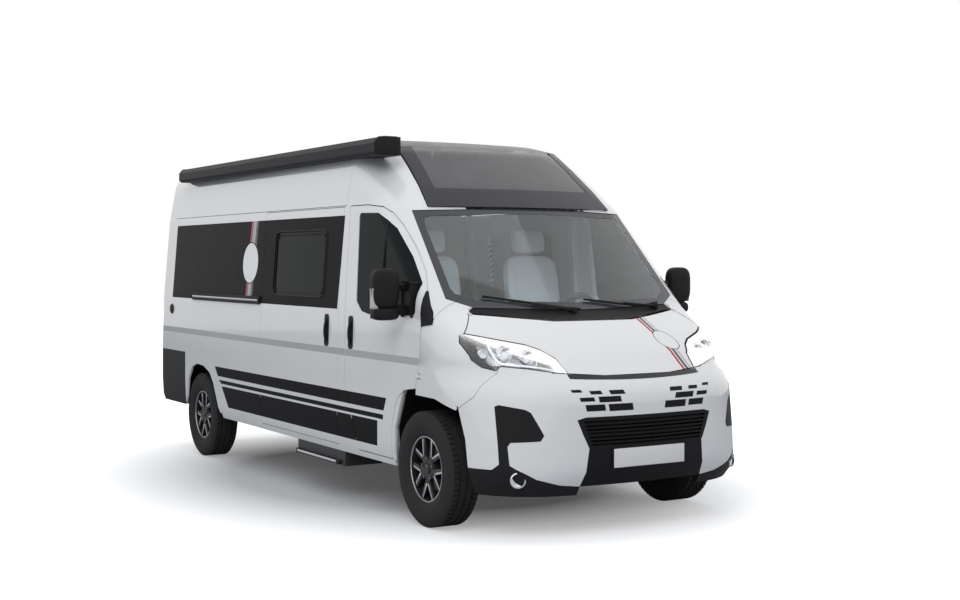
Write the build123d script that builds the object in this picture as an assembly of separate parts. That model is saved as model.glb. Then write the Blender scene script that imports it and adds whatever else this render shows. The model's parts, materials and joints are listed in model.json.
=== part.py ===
"""Camper van with a high roof, as separate pieces, in millimetres.

X points forward, Y to the van's left and Z up. The body is drawn level, and
every piece is then turned by the rake, so that all four tyres stand on Z = 0.
"""

from build123d import *
import math
import os

# Stance, wheels and steering
RAKE = 0.771
WHEELBASE = 4035.0
FRONT_AXLE_X = 2051.0
FRONT_TRACK = 1810.0
REAR_TRACK = 1760.0
TYRE_RADIUS = 357.0
TYRE_WIDTH = 220.0
RIM_RADIUS = 204.0
RIM_WIDTH = 168.0
SPOKES = 5
HUB_RADIUS = 74.0
STUB_RADIUS = 32.0
DISC_RADIUS = 140.0
KINGPIN_Y = 850.0
KINGPIN_HALF = 132.0

# Walls, seams and running clearances
WALL = 45.0
REAR_WALL = 60.0
SEAM = 4.0
DOOR_GAP = 6.0
SEAT_GAP = 0.3
GLASS = 6.0
GLASS_DEPTH = 6.0
LINER = 4.0

# Heights of the floor, the sill and the seams round the body
BODY_BOTTOM = 355.0
SKIRT_BOTTOM = 298.0
FLOOR_TOP = 600.0
FLOOR_THICK = 40.0
GUTTER_Z = 2035.0
ROOF_SEAM_Z = 2304.0
ROOF_CORNER = 315.0
ROOF_CORNER_Y = 600.0
ROOF_CORNER_Z = 2195.0
ROOF_TOP = 2534.0
ROOF_FLAT = 620.0

# Sections of the body seen from above: height, rear end, half width,
# nose, radius of the front corner, radius of the nose
BODY = [
    (270, -2940, 950, 2895, 520, 2860),
    (350, -2962, 985, 2940, 500, 2900),
    (440, -2985, 1008, 2985, 590, 2950),
    (600, -2990, 1014, 2992, 640, 2990),
    (870, -2986, 1013, 2986, 690, 2960),
    (935, -2984, 1012, 2947, 700, 2940),
    (1000, -2982, 1010, 2865, 715, 2900),
    (1100, -2980, 1007, 2750, 520, 2750),
    (1200, -2977, 1004, 2600, 375, 2560),
    (1345, -2972, 1001, 2345, 200, 2330),
    (2000, -2945, 952, 1690, 330, 2800),
    (2150, -2938, 929, 1519, 420, 2800),
    (2304, -2930, 900, 1314, 470, 2800),
    (2440, -2922, 872, 1130, 540, 2800),
    (2495, -2919, 863, 870, 570, 2800),
    (2580, -2914, 850, 60, 570, 2800),
]
REAR_CORNER = 70.0

# Doors and windows of the sides, seen from the side (X, Z)
FRONT_DOOR = [
    (918, 2030), (1180, 2030), (1371, 2012), (1474, 1970), (1593, 1884),
    (1756, 1741), (1904, 1588), (1988, 1475), (2014, 1250), (1996, 1041),
    (1958, 869), (1812, 850), (1728, 800), (1683, 727), (1654, 641),
    (1637, 537), (1634, 396), (1129, 396), (1122, 470), (952, 835),
]
FRONT_GLASS = [
    (1064, 1979), (1345, 1972), (1456, 1925), (1563, 1868), (1775, 1685),
    (1935, 1518), (1935, 1322), (1290, 1308), (1180, 1325), (1100, 1390),
]
SLIDING_DOOR = (-563.0, 830.0, 400.0, 2026.0)
SIDE_WINDOW = (-354.0, 584.0, 1395.0, 1878.0)
BED_WINDOW = (-2420.0, -1560.0, 1440.0, 1830.0)
WINDOW_CORNER = 70.0
SIDE_PANEL_END = 857.0

# Front of the van seen from ahead (Y, Z), right half from top to bottom
WINDSCREEN_TOP = (822.0, 1985.0, 2008.0)
WINDSCREEN_FOOT = (876.0, 1425.0, 1353.0)
BONNET_SIDE = [
    (785, 1336), (897, 1226), (765, 1195), (615, 1163), (547, 1133),
    (493, 1084), (468, 1001),
]
BONNET_REAR_Z = 1286.0
BONNET_SKIN = 8.0
BONNET_FRAME = [
    (280, 1246), (745, 1285), (815, 1240), (700, 1207), (560, 1172), (480, 1120),
    (440, 1022), (240, 1012),
]
COWL_DEPTH = 12.0
BONNET_FRONT_Z = 985.0
LAMP = [
    (924, 1219), (897, 1222), (765, 1191), (615, 1159), (547, 1129),
    (493, 1080), (470, 1001), (519, 1004), (680, 1030), (803, 1043),
    (829, 1017), (883, 1036), (917, 1075), (938, 1175),
]
GRILLE = [(436, 757), (490, 743), (453, 653), (416, 576), (432, 442), (446, 352)]
TRIM = [
    (885, 820), (870, 829), (763, 806), (736, 790), (676, 659), (694, 628),
    (832, 617), (845, 593), (839, 485), (812, 464), (715, 407), (572, 366),
    (446, 352), (446, 270), (1030, 270), (1030, 456), (908, 456), (880, 490),
]
SLOTS = [
    (113, 282, 808, 42), (303, 432, 810, 38), (196, 348, 857, 34), (374, 468, 860, 24),
    (164, 266, 895, 24), (317, 396, 897, 20), (444, 507, 908, 16),
]
WING_SEAM = [(2608, 1010), (2558, 868), (2411, 768)]
ROOF_CAP = [(719, 2010), (690, 2180), (655, 2400), (600, 2600)]
SKYLIGHT = [(611, 2137), (560, 2446)]
CAP_RISE = 16.0
CAP_REAR_X = 560.0

# Wheel arches seen from the side (X, Z): the lip, the recess behind it and
# the liner
FRONT_ARCH = [
    (1674, 200), (1690, 600), (1790, 838), (2200, 830), (2425, 782),
    (2490, 610), (2545, 200),
]
REAR_ARCH = [
    (-2330, 200), (-2308, 386), (-2262, 470), (-2225, 620), (-2130, 735),
    (-2004, 770), (-1840, 762), (-1690, 715), (-1597, 629), (-1520, 480),
    (-1440, 300), (-1400, 200),
]
FRONT_RECESS = [
    (1650, 200), (1660, 600), (1772, 862), (2205, 856), (2445, 806),
    (2516, 614), (2572, 200),
]
REAR_RECESS = [
    (-2372, 200), (-2372, 480), (-2292, 700), (-2142, 806), (-1800, 806),
    (-1640, 726), (-1560, 620), (-1470, 450), (-1370, 200),
]
FRONT_LINER = [
    (1638, 200), (1648, 600), (1764, 878), (2240, 878), (2468, 818),
    (2532, 620), (2590, 200),
]
REAR_LINER = [
    (-2400, 200), (-2396, 500), (-2312, 724), (-2150, 830), (-1790, 830),
    (-1620, 742), (-1540, 640), (-1440, 450), (-1350, 200),
]
AXLE_SLOTS = [(1870, 2270, 580), (-2060, -1900, 420)]
ARCH_LIP = 18.0
LINER_INNER_Y = 588.0

# Rear of the van: doors and bumper
REAR_DOOR = (835.0, 548.0, 2288.0)
REAR_GLASS = (150.0, 730.0, 1360.0, 1900.0)
REAR_BUMPER = (-3000.0, -2310.0, 386.0, 540.0, 850.0)
TAIL_LAMP = (897.0, 985.0, 900.0, 1290.0)

# Hinges: a point on the axis, its direction and where the knuckles stand
FRONT_HINGE = (2021.0, 1006.0, (950.0, 1330.0))
FRONT_HINGE_R = 5.0
REAR_HINGE = (-3002.0, 843.0, 700.0, (42.0, 1300.0), (800.0, 1240.0, 1980.0))
REAR_HINGE_R = 7.0
BONNET_HINGE = (2226.0, 1338.0, 782.0)
BONNET_HINGE_R = 4.0

# Fittings
AWNING = (-2570.0, 1290.0, 962.0, 2355.0, 2478.0)
STEP = (118.0, 838.0, 1012.0, 262.0, 26.0, 230.0)
HATCH = (-1350.0, 235.0, 36.0)
HOOPS = (-2820.0, -1500.0, -630.0, 856.0)
RAIL = (-2110.0, -584.0, 1319.0, 1381.0)
FIREWALL = (2120.0, 25.0, 1290.0)
JACK_PADS = (1300.0, -1150.0)
BEAM = (470.0, 545.0)


def plan_outline(row, inset=0.0, rear_inset=0.0):
    """One closed outline of the body from above, tangent all the way round."""
    z, rear, half, nose, corner, bend = row
    rear, half, nose = rear + rear_inset, half - inset, nose - inset
    corner, bend = corner - inset, bend - inset
    rear_corner = max(REAR_CORNER - inset, 12.0)
    cx = nose - bend
    dx = math.sqrt((bend - corner) ** 2 - (half - corner) ** 2)
    turn = math.atan2(half - corner, dx)
    middle = (turn + math.pi / 2) / 2
    start = cx + dx
    tip = (cx + bend * math.cos(turn), bend * math.sin(turn))
    bulge = (
        start + corner * math.cos(middle),
        half - corner + corner * math.sin(middle),
    )
    chamfer = rear_corner * (1 - math.sqrt(0.5))

    def at(x, y):
        return Vector(x, y, z)

    edges = [
        Line(at(rear, half - rear_corner), at(rear, rear_corner - half)),
        ThreePointArc(
            at(rear, rear_corner - half),
            at(rear + chamfer, chamfer - half),
            at(rear + rear_corner, -half),
        ),
        Line(at(rear + rear_corner, -half), at(start, -half)),
        ThreePointArc(at(start, -half), at(bulge[0], -bulge[1]), at(tip[0], -tip[1])),
        ThreePointArc(at(tip[0], -tip[1]), at(nose, 0), at(tip[0], tip[1])),
        ThreePointArc(at(tip[0], tip[1]), at(bulge[0], bulge[1]), at(start, half)),
        Line(at(start, half), at(rear + rear_corner, half)),
        ThreePointArc(
            at(rear + rear_corner, half),
            at(rear + chamfer, half - chamfer),
            at(rear, half - rear_corner),
        ),
    ]
    return Wire(edges)


def roof_prism(inset):
    """The body's cross-section above the roof seam, swept along the van."""
    radius = ROOF_CORNER - inset
    seam_y = ROOF_CORNER_Y + math.sqrt(radius**2 - (ROOF_SEAM_Z - ROOF_CORNER_Z) ** 2)
    flat_z = ROOF_CORNER_Z + math.sqrt(radius**2 - (ROOF_FLAT - ROOF_CORNER_Y) ** 2)
    half_turn = math.radians(55)
    bend = (
        ROOF_CORNER_Y + radius * math.cos(half_turn),
        ROOF_CORNER_Z + radius * math.sin(half_turn),
    )
    wide, low = 1150.0, 200.0
    section = Wire([
        Line((-wide, low), (-wide, ROOF_SEAM_Z)),
        Line((-wide, ROOF_SEAM_Z), (-seam_y, ROOF_SEAM_Z)),
        ThreePointArc(
            (-seam_y, ROOF_SEAM_Z), (-bend[0], bend[1]), (-ROOF_FLAT, flat_z)
        ),
        ThreePointArc(
            (-ROOF_FLAT, flat_z), (0, ROOF_TOP - inset), (ROOF_FLAT, flat_z)
        ),
        ThreePointArc((ROOF_FLAT, flat_z), bend, (seam_y, ROOF_SEAM_Z)),
        Line((seam_y, ROOF_SEAM_Z), (wide, ROOF_SEAM_Z)),
        Line((wide, ROOF_SEAM_Z), (wide, low)),
        Line((wide, low), (-wide, low)),
    ])
    face = Plane.YZ.offset(-3300) * Face(section)
    return extrude(face, amount=6600, dir=(1, 0, 0))


FORMS = {}


def body_form(inset=0.0, rear_inset=None):
    """The whole body as one solid, its walls moved in by the inset."""
    rear = inset if rear_inset is None else rear_inset
    if (inset, rear) not in FORMS:
        wires = [plan_outline(row, inset, rear) for row in BODY]
        FORMS[inset, rear] = Solid.make_loft(wires, ruled=True) & roof_prism(inset)
    return FORMS[inset, rear]


def box(x0, x1, y0, y1, z0, z1):
    """A box from its lowest and highest corners."""
    size = (abs(x1 - x0), abs(y1 - y0), abs(z1 - z0))
    return Pos((x0 + x1) / 2, (y0 + y1) / 2, (z0 + z1) / 2) * Box(*size)


def grown(points, grow):
    """An outline moved outward by a distance, its corners kept sharp."""
    count = len(points)
    area = sum(
        points[i][0] * points[(i + 1) % count][1]
        - points[(i + 1) % count][0] * points[i][1]
        for i in range(count)
    )
    sign = grow if area > 0 else -grow
    moved = []
    for i in range(count):
        before, here, after = points[i - 1], points[i], points[(i + 1) % count]
        a = math.atan2(here[1] - before[1], here[0] - before[0])
        b = math.atan2(after[1] - here[1], after[0] - here[0])
        na = (math.sin(a), -math.cos(a))
        nb = (math.sin(b), -math.cos(b))
        scale = sign / (1 + na[0] * nb[0] + na[1] * nb[1])
        moved.append((here[0] + (na[0] + nb[0]) * scale,
                      here[1] + (na[1] + nb[1]) * scale))
    return moved


def outline_face(points, grow, corner):
    """A flat face from an outline, grown outward and with its corners rounded."""
    outline = grown(points, grow) if grow else points
    face = make_face(Polyline(*outline, close=True))
    return fillet(face.vertices(), corner) if corner else face


def side_prism(points, y0, y1, grow=0.0, corner=0.0):
    """An outline in X and Z, between two distances to the side."""
    face = outline_face(points, grow, corner)
    low, high = min(y0, y1), max(y0, y1)
    return extrude(Plane.XZ.offset(-low) * face, amount=high - low, dir=(0, 1, 0))


def front_prism(points, x0, x1, grow=0.0, corner=0.0):
    """An outline in Y and Z, between two distances along the van."""
    face = outline_face(points, grow, corner)
    return extrude(Plane.YZ.offset(x0) * face, amount=x1 - x0, dir=(1, 0, 0))


def panel(x0, x1, z0, z1):
    """The four corners of a rectangle."""
    return [(x0, z0), (x1, z0), (x1, z1), (x0, z1)]


def both(points):
    """An outline of the right half, closed over the centre by its mirror."""
    return [(-y, z) for y, z in points] + [(y, z) for y, z in reversed(points)]


def one_side(points, side):
    """The points of the right half moved to one side of the van."""
    return [(side * y, z) for y, z in points]


def rod(start, end, radius):
    """A round bar between two points."""
    line = Line(start, end)
    return extrude(
        Plane(origin=start, z_dir=line % 0) * Circle(radius),
        amount=line.length,
        dir=line % 0,
    )


def ring(outer, inner, y0, y1, x, z):
    """A round plate or tube whose axis runs across the van."""
    face = Circle(outer) - Circle(inner) if inner else Circle(outer)
    plane = Plane(origin=(x, min(y0, y1), z), x_dir=(1, 0, 0), z_dir=(0, 1, 0))
    return extrude(plane * face, amount=abs(y1 - y0), dir=(0, 1, 0))


def knuckles(point, direction, radius, half):
    """A hinge's middle knuckle, and the two that hold it from its ends."""
    middle = Vector(*point)
    along = Vector(*direction).normalized()
    turning = rod(middle - along * half, middle + along * half, radius)
    held = []
    for sign in (-1, 1):
        start = middle + along * (sign * (half + SEAT_GAP))
        held.append(rod(start, start + along * (sign * half), radius))
    return turning, held


def hub_height(x):
    """Height of a wheel's centre over the level body's zero."""
    angle = math.radians(RAKE)
    return (TYRE_RADIUS + x * math.sin(angle)) / math.cos(angle)


REAR_AXLE_X = FRONT_AXLE_X - WHEELBASE
FRONT_HUB_Z = hub_height(FRONT_AXLE_X)
REAR_HUB_Z = hub_height(REAR_AXLE_X)
PIECES = {}

skin = body_form()
cavity = body_form(WALL, REAR_WALL)
shell = skin - cavity
above_sill = box(-3200, 3200, -1200, 1200, BODY_BOTTOM, 2700)


def wheel_arches():
    """What the four wheel openings cut: the lips and the recesses behind."""
    cuts = []
    for side in (-1, 1):
        for arch, recess in ((FRONT_ARCH, FRONT_RECESS), (REAR_ARCH, REAR_RECESS)):
            cuts.append(side_prism(arch, side * 1200, side * 560))
            cuts.append(side_prism(recess, side * (1014 - ARCH_LIP), side * 560))
    return cuts


arch_cuts = wheel_arches()


def half_shell(side):
    """The shell on one side of the van, with its wheel arches open."""
    region = box(-3200, 3200, side * 1200, side * 470, BODY_BOTTOM, ROOF_SEAM_Z)
    return (shell & region) - arch_cuts


windscreen_outline = [
    (-WINDSCREEN_TOP[0], WINDSCREEN_TOP[1]), (0, WINDSCREEN_TOP[2]),
    (WINDSCREEN_TOP[0], WINDSCREEN_TOP[1]), (WINDSCREEN_FOOT[0], WINDSCREEN_FOOT[1]),
    (740, 1372), (0, WINDSCREEN_FOOT[2]), (-740, 1372),
    (-WINDSCREEN_FOOT[0], WINDSCREEN_FOOT[1]),
]
bonnet_outline = both([(300, BONNET_REAR_Z + 4)] + BONNET_SIDE + [(240, BONNET_FRONT_Z)])
cowl_outline = [
    (-740, 1371.7), (-776, 1342), (-300, BONNET_REAR_Z + 8),
    (300, BONNET_REAR_Z + 8), (776, 1342), (740, 1371.7),
    (0, WINDSCREEN_FOOT[2] - 0.4),
]


def front_cut(points, grow, x0=1300):
    """An outline of the front, through the nose from a distance ahead."""
    return front_prism(points, x0, 3100, grow)


nose_cuts = {
    "windscreen": front_cut(windscreen_outline, 0),
    "bonnet": front_cut(bonnet_outline, DOOR_GAP / 2, 2190),
    "cowl": front_cut(cowl_outline, SEAM / 2, 2150),
    "cap": front_prism(both(ROOF_CAP), 600, 1900, SEAM / 2),
}
for name, side in (("right", -1), ("left", 1)):
    nose_cuts["lamp_" + name] = front_cut(one_side(LAMP, side), SEAM / 2, 2336)

nose_edge = [(3100, 1060), (2608, 1060)] + WING_SEAM + [(2411, 280), (3100, 280)]
wing_region = [
    (2018, 1252), (2132, 1290), (2132, 1440), (2608, 1440),
] + WING_SEAM + [(2411, 700), (1961, 700), (1961, 869), (1998, 1041)]

door_cut, sliding_cut = {}, side_prism(
    panel(*SLIDING_DOOR), -1200, -700, SEAM / 2, 0
)
for name, side in (("right", -1), ("left", 1)):
    door_cut[name] = side_prism(FRONT_DOOR, side * 1200, side * 700, DOOR_GAP / 2)

rear_door_cut = front_prism(
    panel(-REAR_DOOR[0], REAR_DOOR[0], REAR_DOOR[1], REAR_DOOR[2]),
    -3200, -2850, DOOR_GAP,
)
bumper_cut = box(-3200, REAR_BUMPER[1] + SEAM, -1200, 1200, 200, REAR_BUMPER[3] + SEAM)
bumper_cut += box(-3200, REAR_BUMPER[1] + SEAM, -1200, -REAR_DOOR[0] - 45, 200, 854)
bumper_cut += box(-3200, REAR_BUMPER[1] + SEAM, REAR_DOOR[0] + 45, 1200, 200, 854)


def window_prism(opening, side, grow=0.0):
    """A rounded window opening through one side wall."""
    face = panel(*opening)
    return side_prism(face, side * 1200, side * 700, grow, WINDOW_CORNER)


def layer(outer, inner, region):
    """The layer between two depths under the skin, in one region."""
    return (body_form(outer) & region) - body_form(inner)


NOSE = box(2140, 3200, -1200, 1200, 200, 1450)
CAB = box(1000, 2600, -1200, 1200, 1250, 2050)
nose_skin = skin & NOSE
nose_shell = shell & NOSE
panes = body_form(GLASS_DEPTH) - body_form(GLASS_DEPTH + GLASS)
cab_panes = panes & CAB


def tail_lamp_prism(side, grow=0.0):
    """The tall lamp on the rear corner, seen from behind."""
    y0, y1, z0, z1 = TAIL_LAMP
    return front_prism(
        one_side(panel(y0, y1, z0, z1), side), -3200, -2925, grow, 0
    )


def make_sides():
    """Side panels, the upper panels over the gutter, and the wings."""
    uppers, wings = [], []
    for name, side in (("right", -1), ("left", 1)):
        cuts = [bumper_cut, rear_door_cut, door_cut[name]]
        cuts += [tail_lamp_prism(side, 0), nose_cuts["windscreen"]]
        cuts += [nose_cuts[cut] for cut in ("cap", "bonnet", "cowl")]
        cuts += [nose_cuts["lamp_" + name]]
        half = half_shell(side) - cuts
        wing = half & side_prism(wing_region, side * 1200, side * 470, -SEAM / 2)
        x, y, heights = FRONT_HINGE
        for z in heights:
            wing -= box(x - 60, x + 10, side * (y - 12), side * 1100, z - 18, z + 18)
        wing -= bonnet_notch(side)
        wing -= box(2190, 2520, side * 400, side * 776, 1285, 1375)
        wings.append(largest(wing) + front_hinges(side)[1])
        half -= side_prism(wing_region, side * 1200, side * 470, SEAM / 2)
        half -= box(2134, 3200, side * 1200, side * 300, 200, 1440)
        band = panel(-3200, SIDE_PANEL_END, GUTTER_Z, ROOF_SEAM_Z + 20)
        upper = half & side_prism(band, side * 1200, side * 470, -SEAM / 2)
        uppers.append(largest(upper))
        cuts = [side_prism(band, side * 1200, side * 470, SEAM / 2)]
        if side < 0:
            cuts.append(sliding_cut)
        else:
            for opening in (SIDE_WINDOW, BED_WINDOW):
                cuts.append(window_prism(opening, side))
        PIECES["side_" + name] = largest(largest(half - cuts) + rear_hinges(side)[1])
    PIECES["upper_panels"] = Compound(uppers)
    PIECES["front_wings"] = Compound([largest(wing) for wing in wings])


def bonnet_notch(side):
    """Room for a bonnet pin in what stands round it."""
    x, z, y = BONNET_HINGE
    return box(x - 12, x + 16, side * (y - 14), side * (y + 14), z - 32, z + 14)


def front_hinges(side):
    """Knuckles of a front door: what turns, and what the wing holds."""
    x, y, heights = FRONT_HINGE
    turning, held = [], []
    for z in heights:
        moving, fixed = knuckles((x, side * y, z), (0, 0, 1), FRONT_HINGE_R, 12)
        turning += [moving, box(x - 52, x, side * (y - 4), side * (y + 2), z - 12, z + 12)]
        held += fixed
        for sign in (-1, 1):
            low = z + sign * (12 + SEAT_GAP)
            high = low + sign * 12
            held.append(box(x, x + 16, side * (y - 12), side * (y + 2), low, high))
    return turning, held


def rear_hinges(side):
    """Knuckles of a rear door: what turns, and what the corner post holds."""
    x, y, foot, slope, heights = REAR_HINGE
    turning, held = [], []
    for z in heights:
        at = x + (z - foot) * slope[0] / slope[1]
        moving, fixed = knuckles(
            (at, side * y, z), (slope[0], 0, slope[1]), REAR_HINGE_R, 22
        )
        turning += [moving, box(at - 3, at + 4, side * y, side * (y - 28), z - 21, z + 21)]
        turning.append(box(at, at + 24, side * (y - 28), side * (y - 8), z - 21, z + 21))
        held += fixed
        for sign in (-1, 1):
            low = z + sign * (23.5 + SEAT_GAP)
            high = low + sign * 19
            held.append(box(at - 3, at + 24, side * y, side * (y + 24), low, high))
    return turning, held


def largest(shape):
    """The biggest solid of a cut, without its offcuts."""
    return sorted(shape.solids(), key=lambda solid: solid.volume)[-1]


def make_doors():
    """Front doors with their panes and mirrors, and the sliding door."""
    x, y, heights = FRONT_HINGE
    for name, side in (("right", -1), ("left", 1)):
        region = side_prism(FRONT_DOOR, side * 1200, side * 700, -DOOR_GAP / 2)
        door = (shell & region) - side_prism(
            FRONT_RECESS, side * (1014 - ARCH_LIP), side * 560
        )
        glass = side_prism(FRONT_GLASS, side * 1200, side * 700, 0, 30)
        door = largest(door - glass) + front_hinges(side)[0]
        PIECES["door_front_" + name] = largest(door)
        pane = cab_panes & side_prism(FRONT_GLASS, side * 1200, side * 700, -SEAT_GAP, 30)
        PIECES["door_glass_" + name] = largest(pane)
        PIECES["mirror_" + name] = make_mirror(side)
    region = side_prism(panel(*SLIDING_DOOR), -1200, -700, -SEAM / 2, 0)
    sliding = (shell & region) - window_prism(SIDE_WINDOW, -1)
    PIECES["sliding_door"] = largest(sliding)
    windows = [panes & window_prism(SIDE_WINDOW, -1, -SEAT_GAP)]
    windows += [panes & window_prism(w, 1, -SEAT_GAP) for w in (SIDE_WINDOW, BED_WINDOW)]
    PIECES["side_windows"] = Compound([largest(w) for w in windows])


def make_mirror(side):
    """A tall two-part mirror on two arms, on its base at the window's corner."""
    housing = box(1768, 1880, side * 1060, side * 1250, 1290, 1612)
    housing = fillet(housing.edges().filter_by(Axis.X), 38)
    housing = fillet(housing.edges().group_by(Axis.X)[-1], 24)
    arms = box(1800, 1850, side * 1000, side * 1070, 1478, 1510)
    arms += box(1790, 1860, side * 1000, side * 1070, 1330, 1380)
    base = side_prism(
        [(1800, 1322), (1800, 1500), (1860, 1575), (1930, 1505), (1930, 1330)],
        side * 1003, side * 960,
    )
    base -= body_form(-SEAT_GAP)
    return largest(housing + arms + base)


def make_front():
    """Windscreen, cowl, bonnet, lamps, bumper, trim and grille."""
    pane = cab_panes & front_prism(windscreen_outline, 1300, 2600, -SEAT_GAP)
    PIECES["windscreen"] = largest(pane)
    cowl = layer(COWL_DEPTH, 34, NOSE) & front_cut(cowl_outline, 0, 2150)
    x, z, y = BONNET_HINGE
    cowl -= [bonnet_notch(side) for side in (-1, 1)]
    PIECES["cowl"] = largest(cowl)
    bonnet = layer(0, BONNET_SKIN, NOSE) & front_cut(bonnet_outline, -DOOR_GAP / 2, 2190)
    bonnet = largest(bonnet) + (nose_shell & front_cut(both(BONNET_FRAME), 0, 2190))
    for side in (-1, 1):
        bonnet += rod((x, side * (y - 8), z), (x, side * (y + 8), z), BONNET_HINGE_R)
        bonnet += box(x - 1, x + 18, side * (y - 8), side * (y + 8), z - 86, z - 1)
        bonnet += box(x - 1, x + 100, side * (y - 8), side * (y + 8), z - 88, z - 76)
    PIECES["bonnet"] = largest(bonnet)
    lamps = []
    deep = layer(0, 120, NOSE)
    for name, side in (("right", -1), ("left", 1)):
        lamp = deep & front_cut(
            one_side(LAMP, side), -SEAM / 2, 2340
        )
        lamps.append(largest(lamp))
    PIECES["headlamps"] = Compound(lamps)
    nose = nose_shell & box(2350, 3200, -1200, 1200, SKIRT_BOTTOM, 1060)
    nose &= side_prism(nose_edge, -1200, 1200, -SEAM / 2)
    nose -= arch_cuts + [nose_cuts[c] for c in ("bonnet", "lamp_right", "lamp_left")]
    nose -= box(2600, 3200, -560, 560, 1004, 1100)
    trims = []
    white = nose & box(2300, 3200, -1200, 1200, BODY_BOTTOM, 1100)
    for name, side in (("right", -1), ("left", 1)):
        outline = one_side(TRIM, side)
        trims.append(largest(nose & front_prism(outline, 2300, 3200, -1)))
        white -= front_prism(outline, 2300, 3200, 1)
    cuts = [front_prism(both(GRILLE), 2600, 3200, 1)]
    for inner, outer, z, height in SLOTS:
        low, high = z - height / 2, z + height / 2
        for side in (-1, 1):
            slot = [(inner, low), (outer, low), (outer + 8, high), (inner + 8, high)]
            cuts.append(front_prism(one_side(slot, side), 2800, 3200))
    PIECES["bumper_front"] = largest(white - cuts)
    PIECES["bumper_trim"] = Compound(trims)
    grille = nose & front_prism(both(GRILLE), 2600, 3200, -1)
    bars = []
    for i in range(7):
        z = 590 + i * 22
        bars.append(box(2800, 3200, -400 - i * 8, 400 + i * 8, z, z + 13))
    PIECES["grille"] = largest(grille - bars)


def make_rear():
    """Rear doors with their windows, rear bumper and tail lamps."""
    half, low, high = REAR_DOOR
    for name, side in (("right", -1), ("left", 1)):
        region = front_prism(
            one_side(panel(3, half, low, high), side), -3200, -2850
        )
        y0, y1, z0, z1 = REAR_GLASS
        opening = one_side(panel(y0, y1, z0, z1), side)
        door = (shell & region) - front_prism(opening, -3200, -2850, 0, 60)
        door = largest(door) + rear_hinges(side)[0]
        PIECES["rear_door_" + name] = largest(door)
        pane = panes & front_prism(opening, -3200, -2850, -SEAT_GAP, 60)
        PIECES["rear_glass_" + name] = largest(pane)
    x0, x1, z0, z1, z2 = REAR_BUMPER
    bumper = shell & (
        box(-3200, x1, -1200, 1200, z0, z1)
        + box(-3200, x1, -1200, -half - 49, z0, z2)
        + box(-3200, x1, half + 49, 1200, z0, z2)
    )
    bumper -= arch_cuts
    PIECES["rear_bumper"] = largest(bumper)
    rear_layer = layer(0, 40, box(-3200, -2800, -1200, 1200, 800, 1400))
    lamps = [
        largest(rear_layer & tail_lamp_prism(side, -SEAT_GAP))
        for side in (-1, 1)
    ]
    PIECES["tail_lamps"] = Compound(lamps)


def make_roof():
    """Roof, the dark cap over the cab, its skylight, and the roof hatch."""
    roof = shell & box(-3200, 3200, -1200, 1200, ROOF_SEAM_Z, 2700)
    roof -= nose_cuts["cap"]
    x, half, rise = HATCH
    roof += box(x - half - 30, x + half + 30, -half - 30, half + 30, 2500, 2544)
    roof -= box(x - half, x + half, -half, half, 2400, 2700)
    hinge = (x + half + 38, 2562)
    for side in (-1, 1):
        moving, fixed = knuckles((hinge[0], side * 150, hinge[1]), (0, 1, 0), 6, 20)
        roof += fixed
        for sign in (-1, 1):
            low = side * 150 + sign * (20 + SEAT_GAP)
            roof += box(hinge[0] - 5, hinge[0] + 5, low, low + sign * 20, 2515, hinge[1])
    PIECES["roof"] = largest(roof)
    cab_top = box(CAP_REAR_X + 44, 1900, -1000, 1000, 1980, 2700)
    cap = layer(-CAP_RISE, WALL, cab_top) & front_prism(
        both(ROOF_CAP), CAP_REAR_X, 1900, -SEAM / 2
    )
    window = both(SKYLIGHT)
    cap -= front_prism(window, 1000, 1900)
    PIECES["roof_cap"] = largest(cap)
    pane = layer(4 - CAP_RISE, 12 - CAP_RISE, cab_top)
    PIECES["skylight"] = largest(pane & front_prism(window, 1000, 1900, -SEAT_GAP))
    lid = box(x - half - 30, x + half + 30, -half - 30, half + 30, 2544 + SEAT_GAP, 2544 + rise)
    lid = fillet(lid.edges().filter_by(Axis.Z), 40)
    lid = fillet(lid.edges().group_by(Axis.Z)[-1], 12)
    for side in (-1, 1):
        lid += knuckles((hinge[0], side * 150, hinge[1]), (0, 1, 0), 6, 20)[0]
        lid += box(hinge[0] - 40, hinge[0], side * 150 - 20, side * 150 + 20, 2558, 2566)
    frame = largest(lid)
    PIECES["roof_hatch"] = frame


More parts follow.
